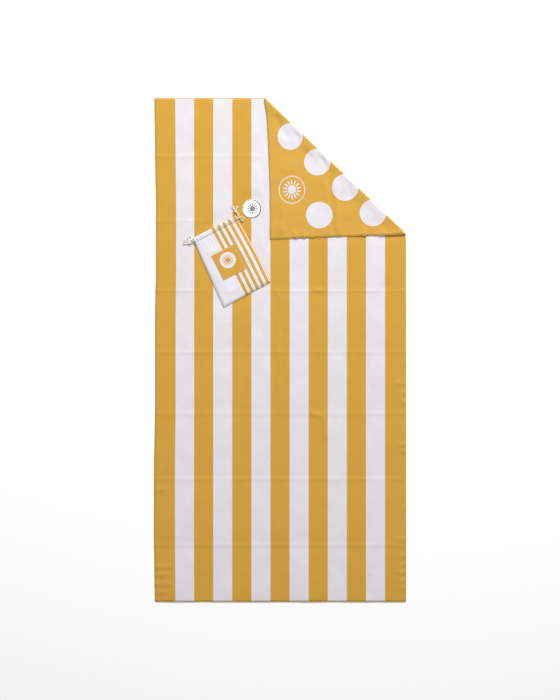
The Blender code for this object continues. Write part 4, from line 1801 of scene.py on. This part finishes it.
LEFT_ROUTE = CordRoute(
    "left", "right",
    to_hem=((-0.0098, -0.0084, 0.0048), (-0.0075, -0.0086, 0.0056), (-0.0045, LOWER, FRONT)),
    loop=((0.0055, LOWER, FRONT), (0.0130, -0.0098, 0.0060), (0.0186, -0.0134, 0.0052),
          (0.0200, -0.0196, 0.0045), (0.0160, -0.0240, 0.0038), (0.0114, -0.0218, 0.0031),
          (0.0106, -0.0166, 0.0025), (0.0088, -0.0122, 0.0021), (0.0048, -0.0096, BACK)),
    from_hem=((-0.0045, LOWER, BACK), (-0.0075, -0.0086, 0.0018), (-0.0098, -0.0084, 0.0018)),
    knot=(-0.0146, -0.0090, 0.0032),
    tails={"upper": ((-0.0180, -0.0048, 0.0016), (-0.0234, 0.0004, 0.0021),
                     (-0.0300, 0.0090, 0.0024)),
           "lower": ((-0.0196, -0.0080, 0.0023), (-0.0270, -0.0048, 0.0030),
                     (-0.0356, 0.0020, 0.0033))})


@dataclass
class Drawcord:
    """One of the pouch's twisted cords, with its knot and frayed ends."""

    route: CordRoute
    place: PouchPlace
    effects: Effects
    diameter: float = 0.0025
    strand: float = 0.00060
    strand_apart: float = 1.06
    strands: int = 3
    lay_length: float = 0.0075
    step: float = 0.0006
    ply: Ply = Ply.RIGHT_HAND
    knot_size: tuple[float, float, float] = (0.0012, 0.0013, 0.0017)
    knot_cord: float = 0.00115
    knot_swell: float = 0.14
    tail_step: float = 0.0008
    yarns: int = 44
    yarn: float = 0.00025
    yarn_spread: tuple[float, float] = (0.0010, 0.0070)
    yarn_least_height: float = 0.0012
    finish: ThreadFinish = ThreadFinish("cotton_cord", (0.790, 0.765, 0.700),
                                        (0.500, 0.470, 0.410), fibre=0.00045, depth=0.00008)

    def build(self) -> list[Piece]:
        """Returns:
            Its pieces, the cord first.
        """
        side = self.route.side
        body = f"drawcord_{side}_body"
        line = self.place.world(smooth_route(self.route.points(), self.step))
        cord = self.piece("drawcord_" + side, self.twist(line), body)
        knot = self.piece("knot_" + side, self.knot(), body)
        tails = [self.piece(f"tail_{side}_{end}", self.tassel(points, seed), body)
                 for seed, (end, points) in enumerate(self.route.tails.items())]
        mouth = self.route.beside(side, self.route.to_hem)[-1]
        tuple(self.place.world(np.array([mouth]))[0])
        return [cord, knot, *tails]

    def piece(self, name: str, shape: Shape, body: str) -> Piece:
        """Make one piece of the cord that stands for the CAD node of its name.

        Args:
            name: The CAD node, which names the piece too, with _rope added.
            shape: Its vertices and faces.
            body: The body that it moves with.

        Returns:
            The piece.
        """
        points, faces = shape
        made = mesh_piece(name + "_rope", points, faces,
                          [thread_material(self.finish, self.effects, "fibre")])
        store_layout(made, "fibre", points)
        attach(made, body)
        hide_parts(name)
        return made

    def twist(self, line: Array) -> Shape:
        """Twist the strands round a line.

        Args:
            line: The cord's centre line.

        Returns:
            The strands' vertices and faces.
        """
        first, second = frames_along(line)
        run = run_along(line)
        parts = []
        for k in range(self.strands):
            turn = (self.ply.value * 2 * math.pi * run / self.lay_length
                    + 2 * math.pi * k / self.strands)[:, None]
            off = self.strand * self.strand_apart * (np.cos(turn) * first + np.sin(turn) * second)
            parts.append(tube(line + off, np.full(len(line), self.strand), 8))
        return join_parts(parts)

    def knot(self) -> Shape:
        """Tie the overhand knot that joins the cord's two ends.

        Returns:
            The knot's vertices and faces.
        """
        turn = np.linspace(0.0, 2 * math.pi, 150)
        ring = np.stack([np.sin(turn) + 2 * np.sin(2 * turn),
                         np.cos(turn) - 2 * np.cos(2 * turn), -np.sin(3 * turn)], axis=1)
        middle = np.array(self.route.beside(self.route.side, [self.route.knot])[0])
        line = self.place.world(middle + ring * np.array(self.knot_size))
        run = run_along(line)
        round_it = np.arange(12) * 2 * math.pi / 12
        swell = np.cos(self.strands * (round_it[None, :] - 2 * math.pi * run[:, None]
                                       / self.lay_length))
        return tube(line, self.knot_cord * (1.0 + self.knot_swell * swell), 12)

    def tassel(self, points: Sequence[Point], seed: int) -> Shape:
        """Fray one of the cord's ends.

        Args:
            points: The end's route, out from the knot.
            seed: Chooses how its yarns spread.

        Returns:
            The end's vertices and faces.
        """
        chance = np.random.default_rng(40 + 10 * seed + len(self.route.side))
        line = smooth_route(self.route.beside(self.route.side, points), self.tail_step)
        first, second = frames_along(line)
        count = len(line)
        parts = [self.twist(self.place.world(line[:count // 2]))]
        share = np.linspace(0.0, 1.0, count)[:, None]
        for _ in range(self.yarns):
            angle, away = chance.uniform(0, 2 * math.pi), math.sqrt(chance.uniform())
            spread = (self.yarn_spread[0]
                      + self.yarn_spread[1] * np.maximum(share - 0.15, 0.0) ** 1.1)
            sway = chance.uniform(0.0002, 0.0008) * np.sin(
                share * chance.uniform(5.0, 11.0) + chance.uniform(0.0, 6.0))
            off = away * spread * (math.cos(angle) * first + 0.35 * math.sin(angle) * second)
            strand = line + off + sway * share * first
            strand[:, 2] = np.maximum(strand[:, 2], self.yarn_least_height)
            end = int(count * chance.uniform(0.80, 1.0))
            parts.append(tube(self.place.world(strand[2:end]), np.full(end - 2, self.yarn), 4))
        return join_parts(parts)


# Swing tag -----------------------------------------------------------------------------------

@dataclass
class SwingTag:
    """The round card tag, with a ring and a sun printed on it and a punched hole."""

    effects: Effects
    bevel: float = 0.00025
    rings: int = 14
    sides: int = 96
    ring_at: float = 0.0277
    ring_half: float = 0.0009
    ink_soft: float = 0.0003
    sun_radius: float = 0.0185
    sun_aside: float = 0.0020
    warp: float = 0.00042
    card: CardFinish = CardFinish()

    def build(self) -> Piece:
        """Dress the card of the frame and lay its printed face over it.

        Returns:
            The tag.
        """
        node = frame["nodes"]["tag_disc"]
        low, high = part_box("tag_disc")
        middle, radius = (low + high) / 2, (high.x - low.x) / 2
        thickness = high.z - low.z
        points = np.array([v.co for v in node.data.vertices])
        hole = self.hole(points, np.array(middle), radius)
        shape, faces = self.disc(np.array(middle), radius, thickness, low.z, hole)
        tag = mesh_piece("tag_card", shape, faces, [self.material(hole[:2], hole[2])])
        store_layout(tag, "flat", shape[:, :2] - np.array(middle)[:2])
        self.flatten_shading(tag)
        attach(tag, "tag")
        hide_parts("tag_disc")
        return tag

    @staticmethod
    def hole(points: Array, middle: Array, radius: float) -> tuple[float, float, float]:
        """Find the punched hole among the card's vertices.

        Args:
            points: The CAD card's vertices.
            middle: Its middle.
            radius: Its radius.

        Returns:
            The hole's place from the middle, and its radius.
        """
        flat = points[:, :2] - middle[:2]
        inner = flat[np.linalg.norm(flat, axis=1) < radius * 0.985]
        centre = (inner.min(0) + inner.max(0)) / 2
        return centre[0], centre[1], float(np.ptp(inner[:, 0]) / 2)

    def disc(self, middle: Array, radius: float, thickness: float, low: float,
             hole: tuple[float, float, float]) -> Shape:
        """Make the card as rings that grow from the hole's rim to its own.

        Args:
            middle: The card's middle.
            radius: Its radius.
            thickness: Its thickness.
            low: The height of its underside.
            hole: The hole's place from the middle, and its radius.

        Returns:
            The vertices and faces.
        """
        turn = np.arange(self.sides) * 2 * math.pi / self.sides
        round_it = np.stack([np.cos(turn), np.sin(turn)], axis=1)
        centre = np.array(hole[:2])
        toward = self.rim_beyond(centre, round_it, radius)
        bevel = self.bevel

        def ring(share: float, inset: float, height: float) -> Array:
            """Place one ring, from the hole's rim at share 0 to the card's at 1."""
            start = centre + round_it * (hole[2] + (inset if share == 0.0 else 0.0))
            end = toward * (1.0 - (inset / radius if share == 1.0 else 0.0))
            flat = start + (end - start) * share
            warp = self.warp * smoothstep(0.2, 1.0, (flat[:, 0] / radius + 1.0) / 2.0)
            return np.column_stack([flat + middle[:2], low + height + warp])

        shares = [0.02, 0.08, *np.linspace(0.16, 0.92, self.rings - 4), 0.97]
        loops = [ring(0.0, bevel, thickness), *(ring(s, 0.0, thickness) for s in shares),
                 ring(1.0, bevel, thickness), ring(1.0, 0.0, thickness - bevel),
                 ring(1.0, 0.0, bevel), ring(1.0, bevel, 0.0),
                 *(ring(s, 0.0, 0.0) for s in reversed(shares)), ring(0.0, bevel, 0.0),
                 ring(0.0, 0.0, bevel), ring(0.0, 0.0, thickness - bevel)]
        faces = ring_faces(len(loops), self.sides, looped=True)
        return np.vstack(loops), [tuple(reversed(loop)) for loop in faces]

    @staticmethod
    def rim_beyond(centre: Array, directions: Array, radius: float) -> Array:
        """Return where rays from a place inside the card meet its rim."""
        along = directions @ centre
        reach = -along + np.sqrt(along ** 2 + radius ** 2 - centre @ centre)
        return centre + directions * reach[:, None]

    @staticmethod
    def flatten_shading(tag: Piece) -> None:
        """Keep the card's faces flat and its bevelled rim crisp."""
        tag.data.polygons.foreach_set("use_smooth", [abs(p.normal.z) > 0.99
                                                     for p in tag.data.polygons])
        tag.data.update()

    def material(self, hole: tuple[float, float], hole_radius: float) -> Material:
        """Dress the card.

        Args:
            hole: The hole's place from the middle.
            hole_radius: Its radius.

        Returns:
            The material.
        """
        card = self.card
        made = Material(card.name, card.roughness, coat=card.coat)
        tree = made.tree
        place = made.place("flat")
        distance = tree.vector("LENGTH", place, out="Value")
        # The printed ring's line widens towards the card's right side; that extra width is
        # painted shade along the card's edge.
        ring_painted_shade = tree.ramp(tree.split(place)[0], -0.025, 0.026, 0.30, 1.6)
        ring = tree.ring(distance, self.ring_at, tree.math("MULTIPLY", ring_painted_shade, self.ring_half),
                         self.ink_soft)
        from_sun = tree.vector("SUBTRACT", place, (self.sun_aside, 0.0, 0.0))
        sun = tree.group(self.effects.sun, Vector=from_sun, Radius=self.sun_radius,
                         Rays=12.0).outputs[0]
        from_hole = tree.vector("SUBTRACT", place, (*hole, 0.0))
        # The card darkens within about 1.2 mm of the punched hole's rim: painted shade of the
        # hole.
        wear_and_hole_shade = tree.ramp(tree.vector("LENGTH", from_hole, out="Value"), hole_radius,
                         hole_radius + 0.0012, 0.75, 1.0)
        mottle = tree.group(self.effects.mottle, Vector=place, Amount=0.012, Patch=0.012,
                            Grain=0.0006)
        printed = tree.mix(ring, tree.mix(sun, card.card, card.grey), card.ink)
        made.colour(tree.shaded(printed, tree.math("MULTIPLY", mottle.outputs["Factor"], wear_and_hole_shade)))
        fibre = tree.noise(place, 2400.0, 3.0)
        made.roughness(tree.math("MULTIPLY_ADD", fibre, 0.12, card.roughness - 0.06))
        made.relief(tree.math("MULTIPLY", fibre, 0.00003))
        return made


# Studio --------------------------------------------------------------------------------------

@dataclass(frozen=True)
class Lamp:
    """A soft square lamp."""

    name: str
    at: Point
    aim: Point
    size: float
    power: float
    colour: Colour = (1.0, 1.0, 1.0)


@dataclass
class Studio:
    """The floor, lamps and camera."""

    camera_height: float = 6.0
    view_height: float = 2.2225
    sensor: float = 36.0
    floor_reach: float = 6.0
    floor_colour: Colour = (0.975, 0.975, 0.976)
    sky: float = 0.33
    lamps: Sequence[Lamp] = (
        Lamp("key", (1.5, 5.6, 3.5), (0.0, -0.1, 0.0), 1.6, 545.0),
        Lamp("fill", (-0.8, 0.4, 4.4), (0.0, 0.0, 0.0), 2.4, 50.0),
    )

    def build(self) -> None:
        """Set the studio up round the towel."""
        self.floor()
        for lamp in self.lamps:
            self.hang(lamp)
        self.world()
        self.camera()
        bpy.context.scene.view_settings.view_transform = "Standard"

    def floor(self) -> None:
        """Lay a plain pale floor."""
        reach = self.floor_reach
        corners = np.array([(-reach, -reach, 0.0), (reach, -reach, 0.0), (reach, reach, 0.0),
                            (-reach, reach, 0.0)])
        pale = Material("studio_floor", 0.9)
        tree = pale.tree
        place = tree.node("TexCoord").outputs["Object"]
        soft = tree.ramp(tree.noise(place, 1.3), 0.3, 0.7)
        pale.colour(tree.mix(soft, self.floor_colour, tuple(c * 0.995 for c in
                                                            self.floor_colour)))
        sheet = mesh_piece("studio_floor", corners, [(0, 1, 2, 3)], [pale])

    def hang(self, lamp: Lamp) -> None:
        """Hang one lamp and aim it."""
        light = bpy.data.lights.new(lamp.name, "AREA")
        light.size = lamp.size
        light.energy = lamp.power
        light.color = lamp.colour
        holder = bpy.data.objects.new(lamp.name, light)
        holder.location = lamp.at
        aim = Vector(lamp.aim) - Vector(lamp.at)
        holder.rotation_euler = aim.to_track_quat("-Z", "Y").to_euler()
        bpy.context.scene.collection.objects.link(holder)

    def world(self) -> None:
        """Surround the studio with even white light."""
        world = bpy.data.worlds.new("studio")
        world.use_nodes = True
        background = world.node_tree.nodes["Background"]
        background.inputs["Color"].default_value = (1.0, 1.0, 1.0, 1.0)
        background.inputs["Strength"].default_value = self.sky
        bpy.context.scene.world = world

    def camera(self) -> None:
        """Hang the camera straight over the towel's middle, with the towel's top edge up."""
        lens = bpy.data.cameras.new("overhead")
        lens.sensor_width = self.sensor
        lens.lens = self.sensor * self.camera_height / self.view_height
        lens.clip_end = 100.0
        overhead = bpy.data.objects.new("overhead", lens)
        overhead.location = (0.0, 0.0, self.camera_height)
        bpy.context.scene.collection.objects.link(overhead)
        bpy.context.scene.camera = overhead


def report(pieces: Iterable[Piece]) -> None:
    """Log the name and the number of faces of each piece."""
    for piece in pieces:
        LOG.info("%s has %d faces", piece.name, len(piece.data.polygons))


def main() -> None:
    """Dress the towel set on its frame."""
    logging.basicConfig(level=logging.INFO, format="%(message)s")
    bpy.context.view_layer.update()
    Studio().build()
    effects = Effects.build()
    place = PouchPlace.from_joint("drawcord_right_pull")
    for route, ply in ((RIGHT_ROUTE, Ply.RIGHT_HAND), (LEFT_ROUTE, Ply.LEFT_HAND)):
        report(Drawcord(route, place, effects, ply=ply).build())
    fold = Fold.from_joint("corner_fold")
    fold.resting_places = RestingPlaces(fold, place)
    report([Towel(fold, effects).build()])
    for name, start, end, crosses, nodes in TOWEL_EDGES:
        report([EdgeThread(fold, effects).build(name, start, end, crosses, nodes)])
    report(Pouch(place, effects).build())
    report([SwingTag(effects).build()])


if __name__ == "__main__":
    main()
